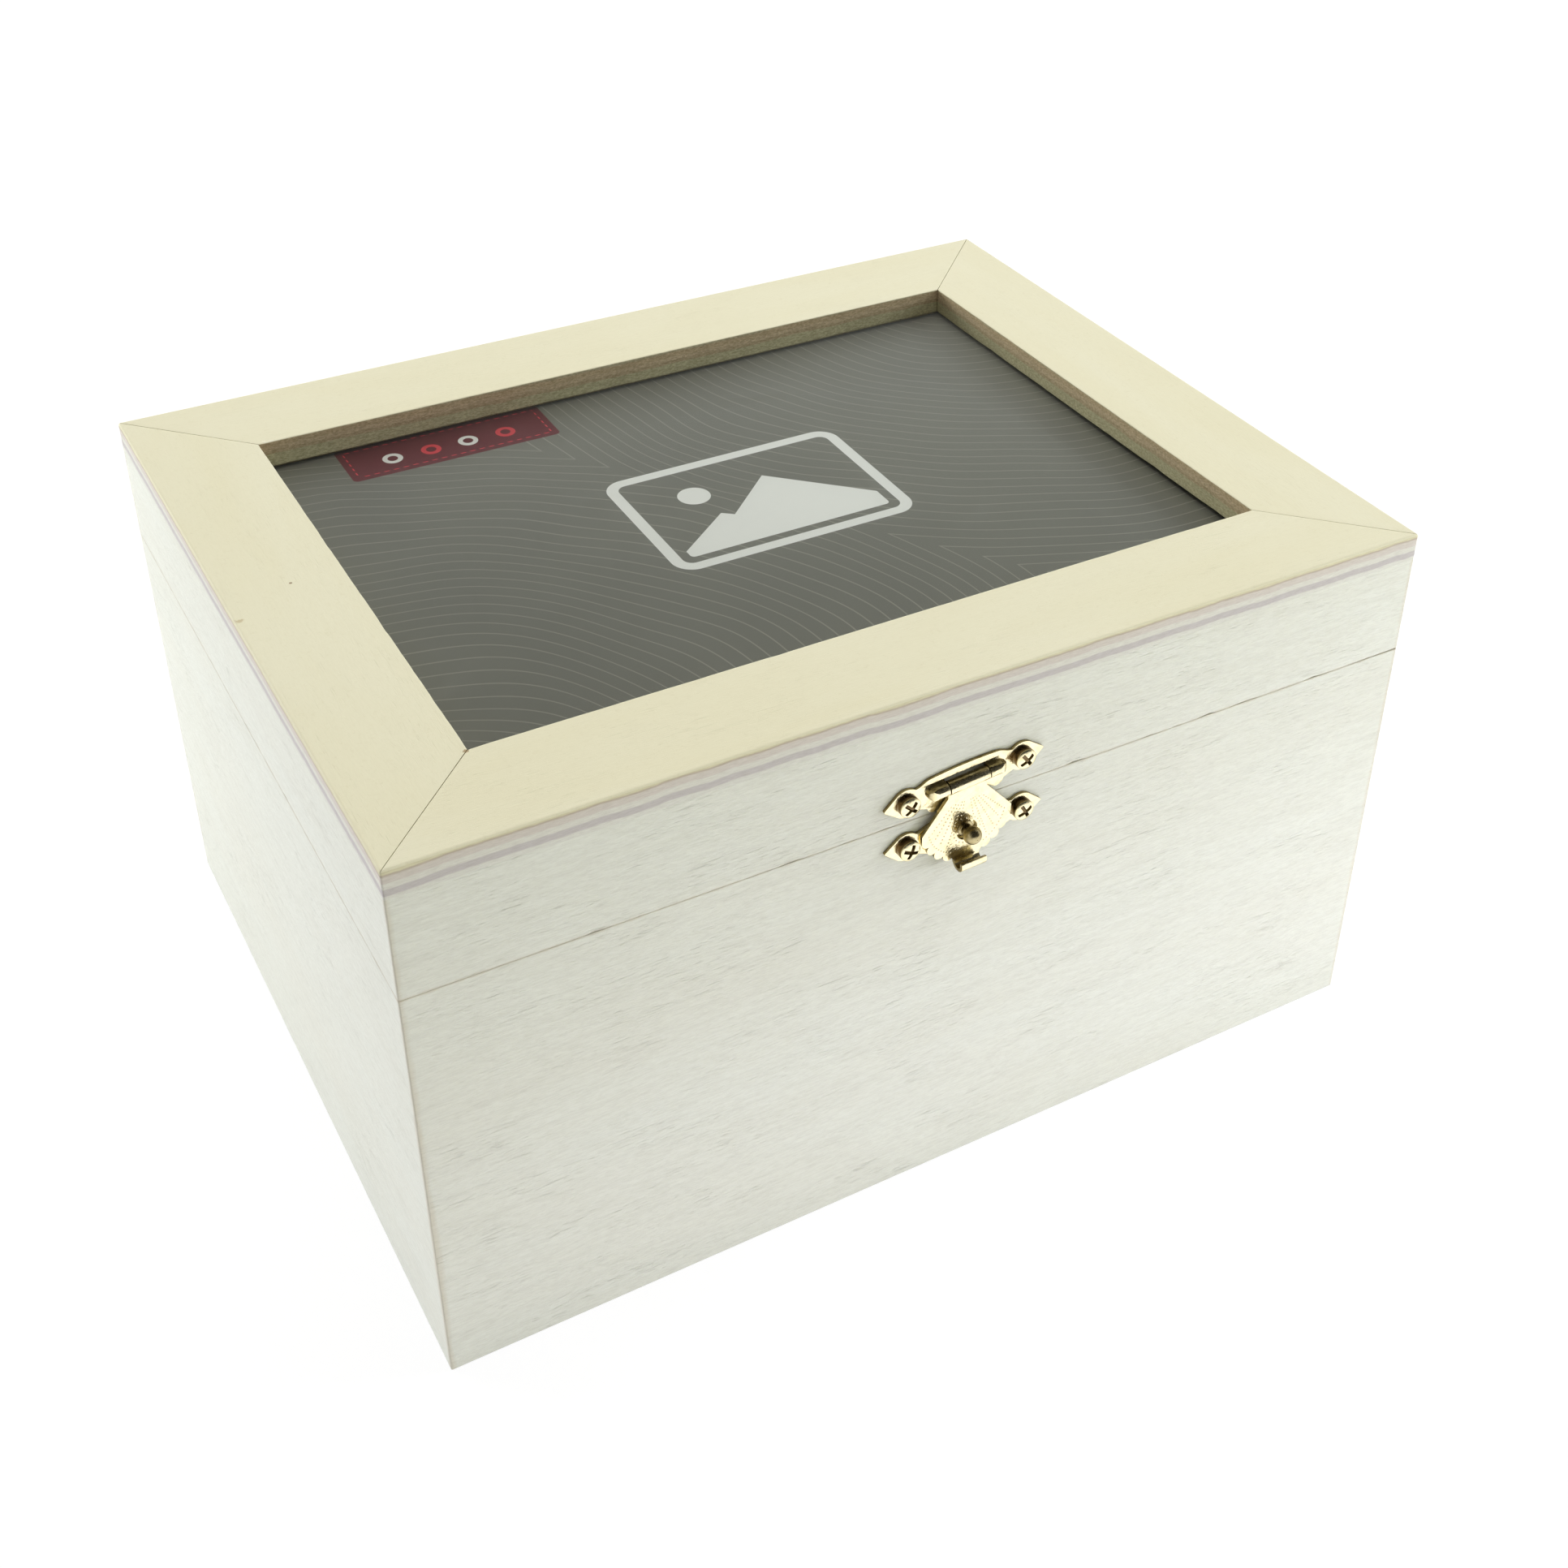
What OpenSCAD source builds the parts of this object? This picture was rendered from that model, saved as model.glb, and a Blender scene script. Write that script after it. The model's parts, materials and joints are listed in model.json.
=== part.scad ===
// Wooden keepsake box with a picture frame lid, two back hinges and a pressed brass hasp.
// The origin is the middle of the underside, the front faces -Y and +Z is up.

/* [Box] */
// Length of the box along its front
box_w = 220; // [180:1:300]
// Depth from the front face to the back face
box_d = 172; // [140:1:240]
// Height with the lid shut
box_h = 125; // [90:1:180]
// Height of the lid, from its top to the parting line
lid_h = 28; // [24:0.5:40]
// Thickness of the plywood walls
wall_t = 6; // [5:0.5:9]
// Thickness of the floor panel
floor_t = 3; // [2:0.5:5]
// Width of the rebate that the floor panel sits in
floor_rebate = 3; // [2:0.5:4]
// Space between the floor panel and the walls of its rebate
floor_gap = 0.1; // [0.05:0.05:0.5]
// Open line between the lid and the base
split_gap = 0.3; // [0.1:0.1:1]

/* [Top frame] */
// Width of the mitred frame rails
rail_w = 24; // [20:1:32]
// Thickness of the frame rails
rail_t = 6; // [4:0.5:8]
// Arris sanded off the outer top edges
arris = 0.4; // [0.1:0.1:0.8]

/* [Picture] */
// How far the picture passes under the side rails
lip_x = 3; // [2:0.5:5]
// How far the picture passes under the front and back rails
lip_y = 1.5; // [1:0.5:5]
// Thickness of the clear sheet
pane_t = 1; // [0.8:0.1:2]
// Thickness of the picture card
card_t = 0.5; // [0.3:0.1:1]
// Thickness of the backing board
board_t = 3; // [2:0.5:4]
// Space between the picture and the strips round it
pocket_gap = 0.5; // [0.2:0.1:1]

/* [Turn buttons] */
// Length between the pivot and the round end of a button
button_reach = 11; // [9:0.5:14]
// Width of a button
button_w = 7; // [6:0.5:9]
// Thickness of a button
button_t = 0.8; // [0.6:0.1:1.2]
// Distance from the edge of the pocket to the pivot
button_setback = 6; // [5:0.5:7]
// Space above and below a button, so that it turns
button_gap = 0.25; // [0.15:0.05:0.4]
// Diameter of the screw that a button turns on
button_screw_d = 2.5; // [2:0.1:3]
// Length of that screw in the wood
button_bite = 4; // [3:0.5:4.5]
// Diameter of that screw's head
button_head_d = 5; // [4:0.1:6]
// Height of that screw's head
button_head_h = 1.3; // [1:0.1:1.6]

/* [Clasp] */
// Middle of the hasp plate, to the right of the middle of the box
clasp_x = 1; // [-20:0.5:20]
// Middle of the hasp plate, below the top of the lid
clasp_drop = 22.2; // [21:0.1:23]
// Lean of the hasp plate, its right end higher
clasp_tilt = 4.5; // [0:0.5:5]
// Lean of the catch plate, its left end higher for a negative value
catch_tilt = 0; // [-3:0.5:3]
// Length of both plates, tip to tip
plate_l = 35.2; // [34:0.2:40]
// Distance between the two screws of a plate
screw_span = 25.6; // [25:0.2:27]
// Thickness of the pressed brass sheet
sheet_t = 0.7; // [0.5:0.1:0.9]
// Height of the leaf round each screw
leaf_h = 6.4; // [5.6:0.1:6.8]
// Length of the middle of a plate between its waists
body_l = 21.4; // [20:0.2:22]
// Height of the waists
waist_h = 4.8; // [4:0.1:5.2]
// Top of the arch above the line of the screws
arch_h = 3.8; // [3.6:0.1:4.3]
// Ends of the arch above the line of the screws
shoulder_h = 3.5; // [3:0.1:3.6]
// Length of the arch
arch_l = 14.6; // [12:0.2:15]
// Top of the hasp's window above the line of the screws
window_rise = 2.3; // [2.1:0.1:2.5]
// Bottom of the hasp plate's lobes below the line of the screws
lobe_drop = 4.6; // [4.2:0.1:5]
// Radius of the lobes
lobe_r = 1.6; // [1.2:0.1:1.8]
// Distance between the middles of the lobes
lobe_span = 13.8; // [12.6:0.2:14]

/* [Hasp] */
// Width of the hasp at its corners
fan_w = 20; // [18:0.2:21]
// Distance from the pin down to the upper corners of the fan
fan_top = 9.8; // [8:0.2:10]
// Distance from the pin down to the lower corners of the fan
fan_side = 11.6; // [11:0.2:12.2]
// Distance from the pin down to the root of the finger curl
fan_l = 18.4; // [17.6:0.2:19]
// How much straighter than its plate the hasp hangs
fan_lean = 2.5; // [0:0.5:3]
// Distance from the pin down to the hole for the stud
hole_drop = 12; // [11.8:0.1:12.4]
// Diameter of the hole for the stud
hole_d = 4.6; // [4.4:0.1:5]
// Radius of the scallops along the lower edge
scallop_r = 1.2; // [1:0.05:1.4]
// Radius of the arc that the scallops follow
scallop_arc = 9.4; // [9.2:0.1:9.8]
// Width of the neck and its rolled knuckle
neck_w = 8.6; // [8:0.2:9]
// Outer diameter of the rolled knuckle
knuckle_d = 2.8; // [2.6:0.1:3]
// Diameter of the hasp pin
pin_d = 1.2; // [1:0.1:1.4]
// Pin above the line of the plate's screws
pin_rise = 0.5; // [0.2:0.1:0.6]
// Space behind the knuckle
knuckle_gap = 0.2; // [0.1:0.1:0.4]
// Side play of the knuckle in the window of its plate
knuckle_slack = 0.25; // [0.15:0.05:0.4]
// Distance from the middle of the pin back to the rear face of the hasp's sheet
sheet_set = 0.6; // [0.4:0.05:0.7]
// Length of each pressed barrel that holds the pin
barrel_l = 4.3; // [3.8:0.1:4.6]
// Outer diameter of the pressed barrels
barrel_d = 2.7; // [2.5:0.1:2.9]
// Length of the rounded end of a barrel
barrel_taper = 2.8; // [2.2:0.1:3.2]
// Closed end of a barrel beyond the pin
barrel_end = 2; // [1.6:0.1:2.4]
// Outer radius of the finger curl
curl_r = 1.8; // [1.4:0.1:2]
// Width of the finger curl
curl_w = 5.6; // [5:0.2:7]
// How far round the finger curl goes
curl_turn = 205; // [180:5:250]

/* [Stud] */
// Diameter of the stud's post
post_d = 2.2; // [1.8:0.1:2.6]
// Diameter of the stud's collar on the catch plate
collar_d = 3.4; // [3:0.1:3.6]
// Diameter of the stud's ball
ball_d = 3.7; // [3.2:0.1:3.9]
// Middle of the ball in front of the wall
ball_reach = 3.6; // [3.4:0.1:4.6]
// Height of the collar, which stands inside the shut hasp's hole
collar_h = 0.6; // [0.4:0.1:0.9]

/* [Screws] */
// Diameter of the clasp screws' heads
head_d = 4.4; // [3.8:0.1:4.8]
// Height of the clasp screws' heads
head_h = 2; // [1.4:0.1:2.4]
// Diameter of the clasp screws' shanks
shank_d = 2; // [1.6:0.1:2.2]
// Length of the clasp screws in the wood
shank_l = 4.6; // [3:0.1:4.8]
// Width of the arms of the cross recess
cross_w = 0.7; // [0.4:0.05:0.8]
// Length of the arms of the cross recess, tip to tip
cross_l = 3.2; // [2:0.1:3.4]
// Depth of the cross recess
cross_depth = 0.9; // [0.5:0.1:1]

/* [Hinges] */
// Distance from the middle of the box to the middle of each hinge
hinge_x = 62; // [40:1:70]
// Length of a hinge along its pin
hinge_l = 20; // [18:0.5:30]
// Height of one leaf, from the pin to its far edge
leaf_reach = 11; // [10:0.5:14]
// Thickness of a leaf
leaf_t = 0.9; // [0.8:0.05:1.1]
// Outer diameter of the hinge knuckles
hinge_knuckle_d = 3; // [2.9:0.1:3.4]
// Diameter of the hinge pin
hinge_pin_d = 1.4; // [1.2:0.05:1.5]
// Gap between neighbouring knuckles
knuckle_play = 0.2; // [0.15:0.05:0.4]
// Height of the pin's rivet heads
rivet_h = 0.5; // [0.3:0.1:0.8]
// Distance between the two screws of a leaf
leaf_screw_span = 12; // [10:0.5:13]
// Distance from the pin to the screws of a leaf
leaf_screw_reach = 6.8; // [6:0.1:7.5]
// Diameter of a leaf screw's countersunk head
leaf_head_d = 3.6; // [3.2:0.1:4]
// Diameter of a leaf screw's shank
leaf_shank_d = 1.8; // [1.4:0.1:2]
// Length of a leaf screw in the wood
leaf_bite = 4; // [3:0.1:4.5]
// Space between the knuckles and the back face
hinge_off = 0.1; // [0.05:0.05:0.3]
// Space between a knuckle and the edge of the other leaf
leaf_gap = 0.25; // [0.2:0.05:0.5]
// Length of the arms of a leaf screw's cross recess, tip to tip
leaf_cross_l = 2.2; // [1.8:0.1:2.6]
// Width of the arms of a leaf screw's cross recess
leaf_cross_w = 0.45; // [0.3:0.05:0.6]
// Depth of a leaf screw's cross recess
leaf_cross_depth = 0.5; // [0.3:0.05:0.6]

/* [Hidden] */

$fn = 40;
SIDES = ["front", "back", "left", "right"];
wood_grey = [0.83, 0.83, 0.78];
wood_cream = [0.90, 0.88, 0.76];
brass = [0.86, 0.72, 0.38];
steel = [0.72, 0.72, 0.70];
// Clearance of a pin, screw or stud that is held in its hole
hold = 0.02;
// Radial clearance of a pin in the bore that turns on it
run = 0.08;
// How far a cutting shape passes the surface that it cuts
over = 1;
// Share of a pan head's height that its dome takes
dome_share = 0.25;
// Width of the blunt tip of a wood screw
tip_d = 0.2;
// Radius of a leaf's tip
leaf_tip_r = 0.3;
// How far the crosses of the left and right screws are turned
HASP_SCREW_TURNS = [43, 31];
CATCH_SCREW_TURNS = [-22, 28];

// Heights of the parting line and of the picture in the lid
lid_z = box_h - lid_h;
base_h = lid_z - split_gap;
rail_z = box_h - rail_t;
pane_z = rail_z - pane_t;
card_z = pane_z - card_t;
board_z = card_z - board_t;
strip_t = pane_t + card_t + board_t;
button_z = board_z - button_gap - button_t;

// The window, the picture behind it and the pocket that holds the picture
window_w = box_w - 2 * rail_w;
window_d = box_d - 2 * rail_w;
picture_w = window_w + 2 * lip_x;
picture_d = window_d + 2 * lip_y;
pocket_w = picture_w + 2 * pocket_gap;
pocket_d = picture_d + 2 * pocket_gap;
inner_w = box_w - 2 * wall_t;
inner_d = box_d - 2 * wall_t;

// The hasp's pin stands this far in front of the wall
pin_out = knuckle_gap + knuckle_d / 2;
// Back of the hasp's sheet, which hangs clear of the catch plate
fan_out = pin_out - sheet_set;
window_l = neck_w + 2 * knuckle_slack;
pin_l = window_l + 2 * (barrel_l - barrel_end);
// Underside of the plates' body below the line of the screws
plate_foot = lobe_drop - lobe_r / 2;
// The stud lies in the middle of the hasp's hole when the hasp is shut, and in the middle of its plate
hang = clasp_tilt - fan_lean;
stud_x = clasp_x - pin_rise * sin(clasp_tilt) + hole_drop * sin(hang);
stud_z = box_h - clasp_drop + pin_rise * cos(clasp_tilt) - hole_drop * cos(hang);

// The hinge pin lies outside the back face, in the middle of the parting line
hinge_out = hinge_knuckle_d / 2 + hinge_off;
hinge_z = lid_z - split_gap / 2;
knuckle_l = (hinge_l - 2 * knuckle_play) / 3;

function side_turn(side) = side == "front" ? 0 : side == "right" ? 90 : side == "back" ? 180 : -90;
function along_x(side) = side == "front" || side == "back";
function side_l(side) = along_x(side) ? box_w : box_d;
function side_reach(side) = (along_x(side) ? box_d : box_w) / 2;

// A child drawn with the outer face at y = 0 and the inside towards +Y, set against one side
module at_side(side) {
    rotate([0, 0, side_turn(side)])
        translate([0, -side_reach(side), 0])
            children();
}

// A child drawn in the plane of a plate, with x along it, y up the wall and z out of the wall
module on_front(x, z, tilt = 0) {
    translate([x, -box_d / 2, z])
        rotate([90, 0, 0])
            rotate([0, 0, tilt])
                children();
}

module on_back(x, z) {
    translate([x, box_d / 2, z])
        rotate([90, 0, 180])
            children();
}

module at_hasp_plate() on_front(clasp_x, box_h - clasp_drop, clasp_tilt) children();

module at_catch_plate() on_front(stud_x, stud_z, catch_tilt) children();

module at_plate_screws(turns = [0, 0]) {
    for (i = [0, 1])
        translate([(2 * i - 1) * screw_span / 2, 0, 0])
            rotate([0, 0, turns[i]])
                children();
}

// A board with both ends cut to a mitre, its long edge on y = 0
module mitred_board(length, width, z, height) {
    translate([0, 0, z])
        linear_extrude(height)
            polygon([[-length / 2, 0], [length / 2, 0],
                [length / 2 - width, width], [-length / 2 + width, width]]);
}

module pilot(d, depth) {
    translate([0, 0, -depth])
        cylinder(d = d + 2 * hold, h = depth + over);
}

module base_wall(side) {
    difference() {
        mitred_board(side_l(side), wall_t, 0, base_h);
        translate([-side_l(side) / 2, wall_t - floor_rebate, -over])
            cube([side_l(side), floor_rebate + over, floor_t + over]);
    }
}

module base_front_wall() {
    color(wood_grey)
        difference() {
            at_side("front") base_wall("front");
            at_catch_plate() at_plate_screws() pilot(shank_d, shank_l);
            on_front(stud_x, stud_z) pilot(post_d, shank_l);
        }
}

module base_back_wall() {
    color(wood_grey)
        difference() {
            at_side("back") base_wall("back");
            at_hinges() leaf_screw_places(-1) pilot(leaf_shank_d, leaf_bite);
        }
}

module base_left_wall() color(wood_grey) at_side("left") base_wall("left");

module base_right_wall() color(wood_grey) at_side("right") base_wall("right");

module base_floor() {
    inset = 2 * (wall_t - floor_rebate + floor_gap);
    color(wood_grey)
        translate([-(box_w - inset) / 2, -(box_d - inset) / 2, 0])
            cube([box_w - inset, box_d - inset, floor_t]);
}

module lid_wall(side) {
    at_side(side)
        mitred_board(side_l(side), wall_t, lid_z, rail_z - lid_z);
}

module lid_front_wall() {
    color(wood_grey)
        difference() {
            lid_wall("front");
            at_hasp_plate() at_plate_screws() pilot(shank_d, shank_l);
        }
}

module lid_back_wall() {
    color(wood_grey)
        difference() {
            lid_wall("back");
            at_hinges() leaf_screw_places(1) pilot(leaf_shank_d, leaf_bite);
        }
}

module lid_left_wall() color(wood_grey) lid_wall("left");

module lid_right_wall() color(wood_grey) lid_wall("right");

// A rail has its outer top edge lightly sanded
module frame_rail(side) {
    color(wood_cream)
        at_side(side)
            difference() {
                mitred_board(side_l(side), rail_w, rail_z, rail_t);
                translate([0, 0, box_h])
                    rotate([45, 0, 0])
                        cube([side_l(side) + over, arris * sqrt(2), arris * sqrt(2)], center = true);
            }
}

module frame_front_rail() frame_rail("front");

module frame_back_rail() frame_rail("back");

module frame_left_rail() frame_rail("left");

module frame_right_rail() frame_rail("right");

module picture_layer(z, thickness) {
    translate([-picture_w / 2, -picture_d / 2, z])
        cube([picture_w, picture_d, thickness]);
}

module clear_pane() color([0.9, 0.95, 0.95, 0.35]) picture_layer(pane_z, pane_t);

module picture_card() color([0.36, 0.36, 0.34]) picture_layer(card_z, card_t);

module backing_board() color([0.55, 0.42, 0.29]) picture_layer(board_z, board_t);

function pivot_y(side) = wall_t + strip_w(side) - button_setback;
function strip_w(side) = (along_x(side) ? inner_d - pocket_d : inner_w - pocket_w) / 2;

// The side strips run the whole depth, and the front and back strips fit between them
module pocket_strip(side) {
    length = along_x(side) ? pocket_w : inner_d;
    color(wood_cream)
        at_side(side)
            difference() {
                translate([-length / 2, wall_t, board_z])
                    cube([length, strip_w(side), strip_t]);
                translate([0, pivot_y(side), board_z])
                    mirror([0, 0, 1])
                        pilot(button_screw_d, button_bite);
            }
}

module pocket_front_strip() pocket_strip("front");

module pocket_back_strip() pocket_strip("back");

module pocket_left_strip() pocket_strip("left");

module pocket_right_strip() pocket_strip("right");

// A button at rest points inwards over the backing board
module turn_button(side) {
    color(steel)
        at_side(side)
            translate([0, pivot_y(side), button_z])
                difference() {
                    union() {
                        cylinder(d = button_w, h = button_t);
                        translate([-button_w / 2, 0, 0])
                            cube([button_w, button_reach, button_t]);
                        translate([0, button_reach, 0])
                            cylinder(d = button_w, h = button_t);
                    }
                    translate([0, 0, -over])
                        cylinder(d = button_screw_d + 2 * run, h = button_t + 2 * over);
                }
}

module turn_button_front() turn_button("front");

module turn_button_back() turn_button("back");

module turn_button_left() turn_button("left");

module turn_button_right() turn_button("right");

module cross_recess(length, width, depth) {
    for (a = [0, 90])
        rotate([0, 0, a])
            translate([-length / 2, -width / 2, -depth])
                cube([length, width, depth + over]);
}

// A pan head: a straight rim under a shallow dome, with a cross recess
module pan_head(d, h) {
    dome_h = h * dome_share;
    dome_r = (d * d / 4 + dome_h * dome_h) / (2 * dome_h);
    difference() {
        intersection() {
            cylinder(d = d, h = h);
            translate([0, 0, h - dome_r])
                sphere(r = dome_r, $fn = 64);
        }
        translate([0, 0, h])
            cross_recess(cross_l * d / head_d, cross_w * d / head_d, cross_depth);
    }
}

// A screw with its head resting on z = 0 and its shank below
module pan_screw(d, h, shank, length) {
    pan_head(d, h);
    translate([0, 0, -length])
        cylinder(d = shank, h = length);
    translate([0, 0, -length - shank / 2])
        cylinder(d1 = tip_d, d2 = shank, h = shank / 2);
}

module turn_button_screws() {
    color(steel)
        for (side = SIDES)
            at_side(side)
                translate([0, pivot_y(side), button_z - button_gap])
                    mirror([0, 0, 1])
                        pan_screw(button_head_d, button_head_h, button_screw_d,
                            button_bite + 2 * button_gap + button_t - button_screw_d / 2);
}

// A round leaf that runs out to a point
module leaf_outline() {
    hull() {
        circle(d = leaf_h);
        translate([(plate_l - screw_span) / 2 - leaf_tip_r, 0])
            circle(r = leaf_tip_r, $fn = 16);
    }
}

function arch(u) = arch_h - (arch_h - shoulder_h) * pow(2 * u / arch_l, 2);

// The flank curves up from the waist to the end of the arch
function flank(t) = [body_l / 2 - (body_l - arch_l) / 2 * t,
    waist_h / 2 + (shoulder_h - waist_h / 2) * (1 - cos(180 * t)) / 2];

// Both plates: an arched body with a waist and a leaf at each end
module plate_sheet() {
    steps = 6;
    for (s = [0, 1])
        mirror([s, 0, 0])
            translate([screw_span / 2, 0, 0])
                linear_extrude(sheet_t)
                    leaf_outline();
    linear_extrude(sheet_t)
        polygon(concat(
            [for (i = [0:steps]) [-flank(i / steps)[0], flank(i / steps)[1]]],
            [for (i = [1 - steps:steps - 1]) [i / steps * arch_l / 2, arch(i / steps * arch_l / 2)]],
            [for (i = [steps:-1:0]) flank(i / steps)],
            [[body_l / 2, -waist_h / 2], [arch_l / 2, -plate_foot],
                [-arch_l / 2, -plate_foot], [-body_l / 2, -waist_h / 2]]));
}

module screw_holes() {
    at_plate_screws()
        translate([0, 0, -over])
            cylinder(d = shank_d + 2 * hold, h = sheet_t + 2 * over);
}

// A quarter of an ellipse, from the top of its height to the far end of its length
function quarter(from, length, foot, height) =
    [for (i = [0:6]) [from + length * sin(15 * i), foot + height * cos(15 * i)]];

// The pressed barrels bulge out of the plate on both sides of the hasp's window
module barrel() {
    crown = pin_out + barrel_d / 2;
    r = barrel_d / 2;
    straight = barrel_l - barrel_taper;
    translate([window_l / 2, pin_rise, 0])
        intersection() {
            union() {
                translate([0, 0, pin_out])
                    rotate([0, 90, 0])
                        cylinder(r = r, h = barrel_l);
                translate([0, -r, 0])
                    cube([barrel_l, barrel_d, pin_out]);
            }
            linear_extrude(crown)
                polygon(concat([[0, -r], [0, r]], quarter(straight, barrel_taper, 0, r),
                    [for (i = [5:-1:0]) [straight + barrel_taper * sin(15 * i), -r * cos(15 * i)]]));
            translate([0, r, 0])
                rotate([90, 0, 0])
                    linear_extrude(barrel_d)
                        polygon(concat([[0, 0], [0, crown]],
                            quarter(straight, barrel_taper, sheet_t, crown - sheet_t), [[barrel_l, 0]]));
        }
}

module hasp_plate() {
    color(brass)
        at_hasp_plate()
            difference() {
                union() {
                    plate_sheet();
                    for (s = [-1, 1])
                        translate([s * lobe_span / 2, lobe_r - lobe_drop, 0])
                            cylinder(r = lobe_r, h = sheet_t);
                    barrel();
                    mirror([1, 0, 0]) barrel();
                }
                screw_holes();
                translate([-window_l / 2, pin_rise - knuckle_d / 2 - knuckle_slack, -over])
                    cube([window_l, window_rise - pin_rise + knuckle_d / 2 + knuckle_slack, sheet_t + 2 * over]);
                translate([-pin_l / 2, pin_rise, pin_out])
                    rotate([0, 90, 0])
                        cylinder(d = pin_d + 2 * hold, h = pin_l);
                translate([-pin_l / 2, pin_rise - pin_d / 2 - hold, -over])
                    cube([pin_l, pin_d + 2 * hold, pin_out + over]);
            }
}

module hasp_pin() {
    color(brass)
        at_hasp_plate()
            translate([hold - pin_l / 2, pin_rise, pin_out])
                rotate([0, 90, 0])
                    cylinder(d = pin_d, h = pin_l - 2 * hold);
}

module hasp_plate_screws() {
    color(brass)
        at_hasp_plate()
            at_plate_screws(HASP_SCREW_TURNS)
                translate([0, 0, sheet_t])
                    pan_screw(head_d, head_h, shank_d, shank_l + sheet_t - shank_d / 2 - hold);
}

// The arc that the scallops follow starts at the fan's lower corners
scallop_x = fan_w / 2 - scallop_r;
scallop_y = fan_side - sqrt(scallop_arc * scallop_arc - scallop_x * scallop_x);
scallop_from = asin(scallop_x / scallop_arc);
scallop_to = 26;
scallops = 4;

function scallop(i) = let(a = scallop_from + (scallop_to - scallop_from) * i / (scallops - 1))
    [scallop_arc * sin(a), -scallop_y - scallop_arc * cos(a)];

module fan_half() {
    polygon(concat([[0, 0], [neck_w / 2, 0], [neck_w / 2, -knuckle_d],
        [fan_w / 2, -fan_top], [fan_w / 2, -fan_side]],
        [for (i = [0:scallops - 1]) scallop(i)],
        [[curl_w / 2, -fan_l], [0, -fan_l]]));
    for (i = [0:scallops - 1])
        translate(scallop(i))
            circle(r = scallop_r);
}

// The finger curl turns outwards and back up from the end of the fan
module finger_curl() {
    translate([-curl_w / 2, -fan_l, fan_out + curl_r])
        rotate([0, 90, 0])
            difference() {
                cylinder(r = curl_r, h = curl_w);
                translate([0, 0, -over])
                    cylinder(r = curl_r - sheet_t, h = curl_w + 2 * over);
                translate([0, 0, -over])
                    linear_extrude(curl_w + 2 * over)
                        polygon([[0, 0],
                            for (i = [0:3]) let(a = curl_turn + (360 - curl_turn) * i / 3)
                                3 * curl_r * [cos(a), -sin(a)]]);
            }
}

module fan_sheet() {
    translate([0, 0, fan_out])
        linear_extrude(sheet_t) {
            fan_half();
            mirror([1, 0]) fan_half();
        }
}

// The hasp hangs from its rolled knuckle, and its hole passes over the stud
module hasp() {
    color(brass)
        at_hasp_plate()
            translate([0, pin_rise, 0])
                difference() {
                    union() {
                        translate([-neck_w / 2, 0, pin_out])
                            rotate([0, 90, 0])
                                cylinder(d = knuckle_d, h = neck_w);
                        rotate([0, 0, -fan_lean]) {
                            fan_sheet();
                            finger_curl();
                        }
                    }
                    translate([-neck_w / 2 - over, 0, pin_out])
                        rotate([0, 90, 0])
                            cylinder(d = pin_d + 2 * run, h = neck_w + 2 * over);
                    rotate([0, 0, -fan_lean])
                        translate([0, -hole_drop, 0])
                            cylinder(d = hole_d, h = fan_out + sheet_t + over);
                }
}

module catch_plate() {
    color(brass)
        difference() {
            at_catch_plate()
                difference() {
                    plate_sheet();
                    screw_holes();
                }
            on_front(stud_x, stud_z)
                translate([0, 0, -over])
                    cylinder(d = post_d + 2 * hold, h = sheet_t + 2 * over);
        }
}

// The stud is riveted through the catch plate, and its ball stands in front of the hasp
module catch_stud() {
    color(brass)
        on_front(stud_x, stud_z) {
            translate([0, 0, hold - shank_l])
                cylinder(d = post_d, h = shank_l + ball_reach - hold);
            translate([0, 0, sheet_t])
                cylinder(d = collar_d, h = collar_h);
            translate([0, 0, ball_reach])
                sphere(d = ball_d);
        }
}

module catch_plate_screws() {
    color(brass)
        at_catch_plate()
            at_plate_screws(CATCH_SCREW_TURNS)
                translate([0, 0, sheet_t])
                    pan_screw(head_d, head_h, shank_d, shank_l + sheet_t - shank_d / 2 - hold);
}

module at_hinges() {
    for (s = [-1, 1])
        on_back(s * hinge_x, hinge_z)
            children();
}

// Screw places of one leaf, above the pin for 1 and below it for -1
module leaf_screw_places(side) {
    for (s = [-1, 1])
        translate([s * leaf_screw_span / 2, side * leaf_screw_reach, 0])
            children();
}

module countersunk(clear) {
    r = leaf_shank_d / 2;
    head_r = leaf_head_d / 2;
    translate([0, 0, leaf_t - (head_r - r)])
        cylinder(r1 = r + clear, r2 = head_r + clear, h = head_r - r);
}

module knuckle(from, length) {
    translate([from, 0, hinge_out])
        rotate([0, 90, 0])
            cylinder(d = hinge_knuckle_d, h = length);
}

// One leaf, which carries the outer knuckles for side -1 and the middle one for side 1
module hinge_leaf(side) {
    root = hinge_knuckle_d / 2 + leaf_gap;
    step = knuckle_l + knuckle_play;
    places = side < 0 ? [-hinge_l / 2, -hinge_l / 2 + 2 * step] : [-hinge_l / 2 + step];
    difference() {
        union() {
            translate([-hinge_l / 2, side > 0 ? root : -leaf_reach, 0])
                cube([hinge_l, leaf_reach - root, leaf_t]);
            for (p = places) {
                knuckle(p, knuckle_l);
                translate([p, side > 0 ? 0 : -root - over, 0])
                    cube([knuckle_l, root + over, leaf_t]);
            }
        }
        translate([-hinge_l / 2 - over, 0, hinge_out])
            rotate([0, 90, 0])
                cylinder(d = hinge_pin_d + 2 * run, h = hinge_l + 2 * over);
        leaf_screw_places(side) {
            translate([0, 0, -over])
                cylinder(d = leaf_shank_d + 2 * hold, h = leaf_t + 2 * over);
            countersunk(hold);
        }
    }
}

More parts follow.
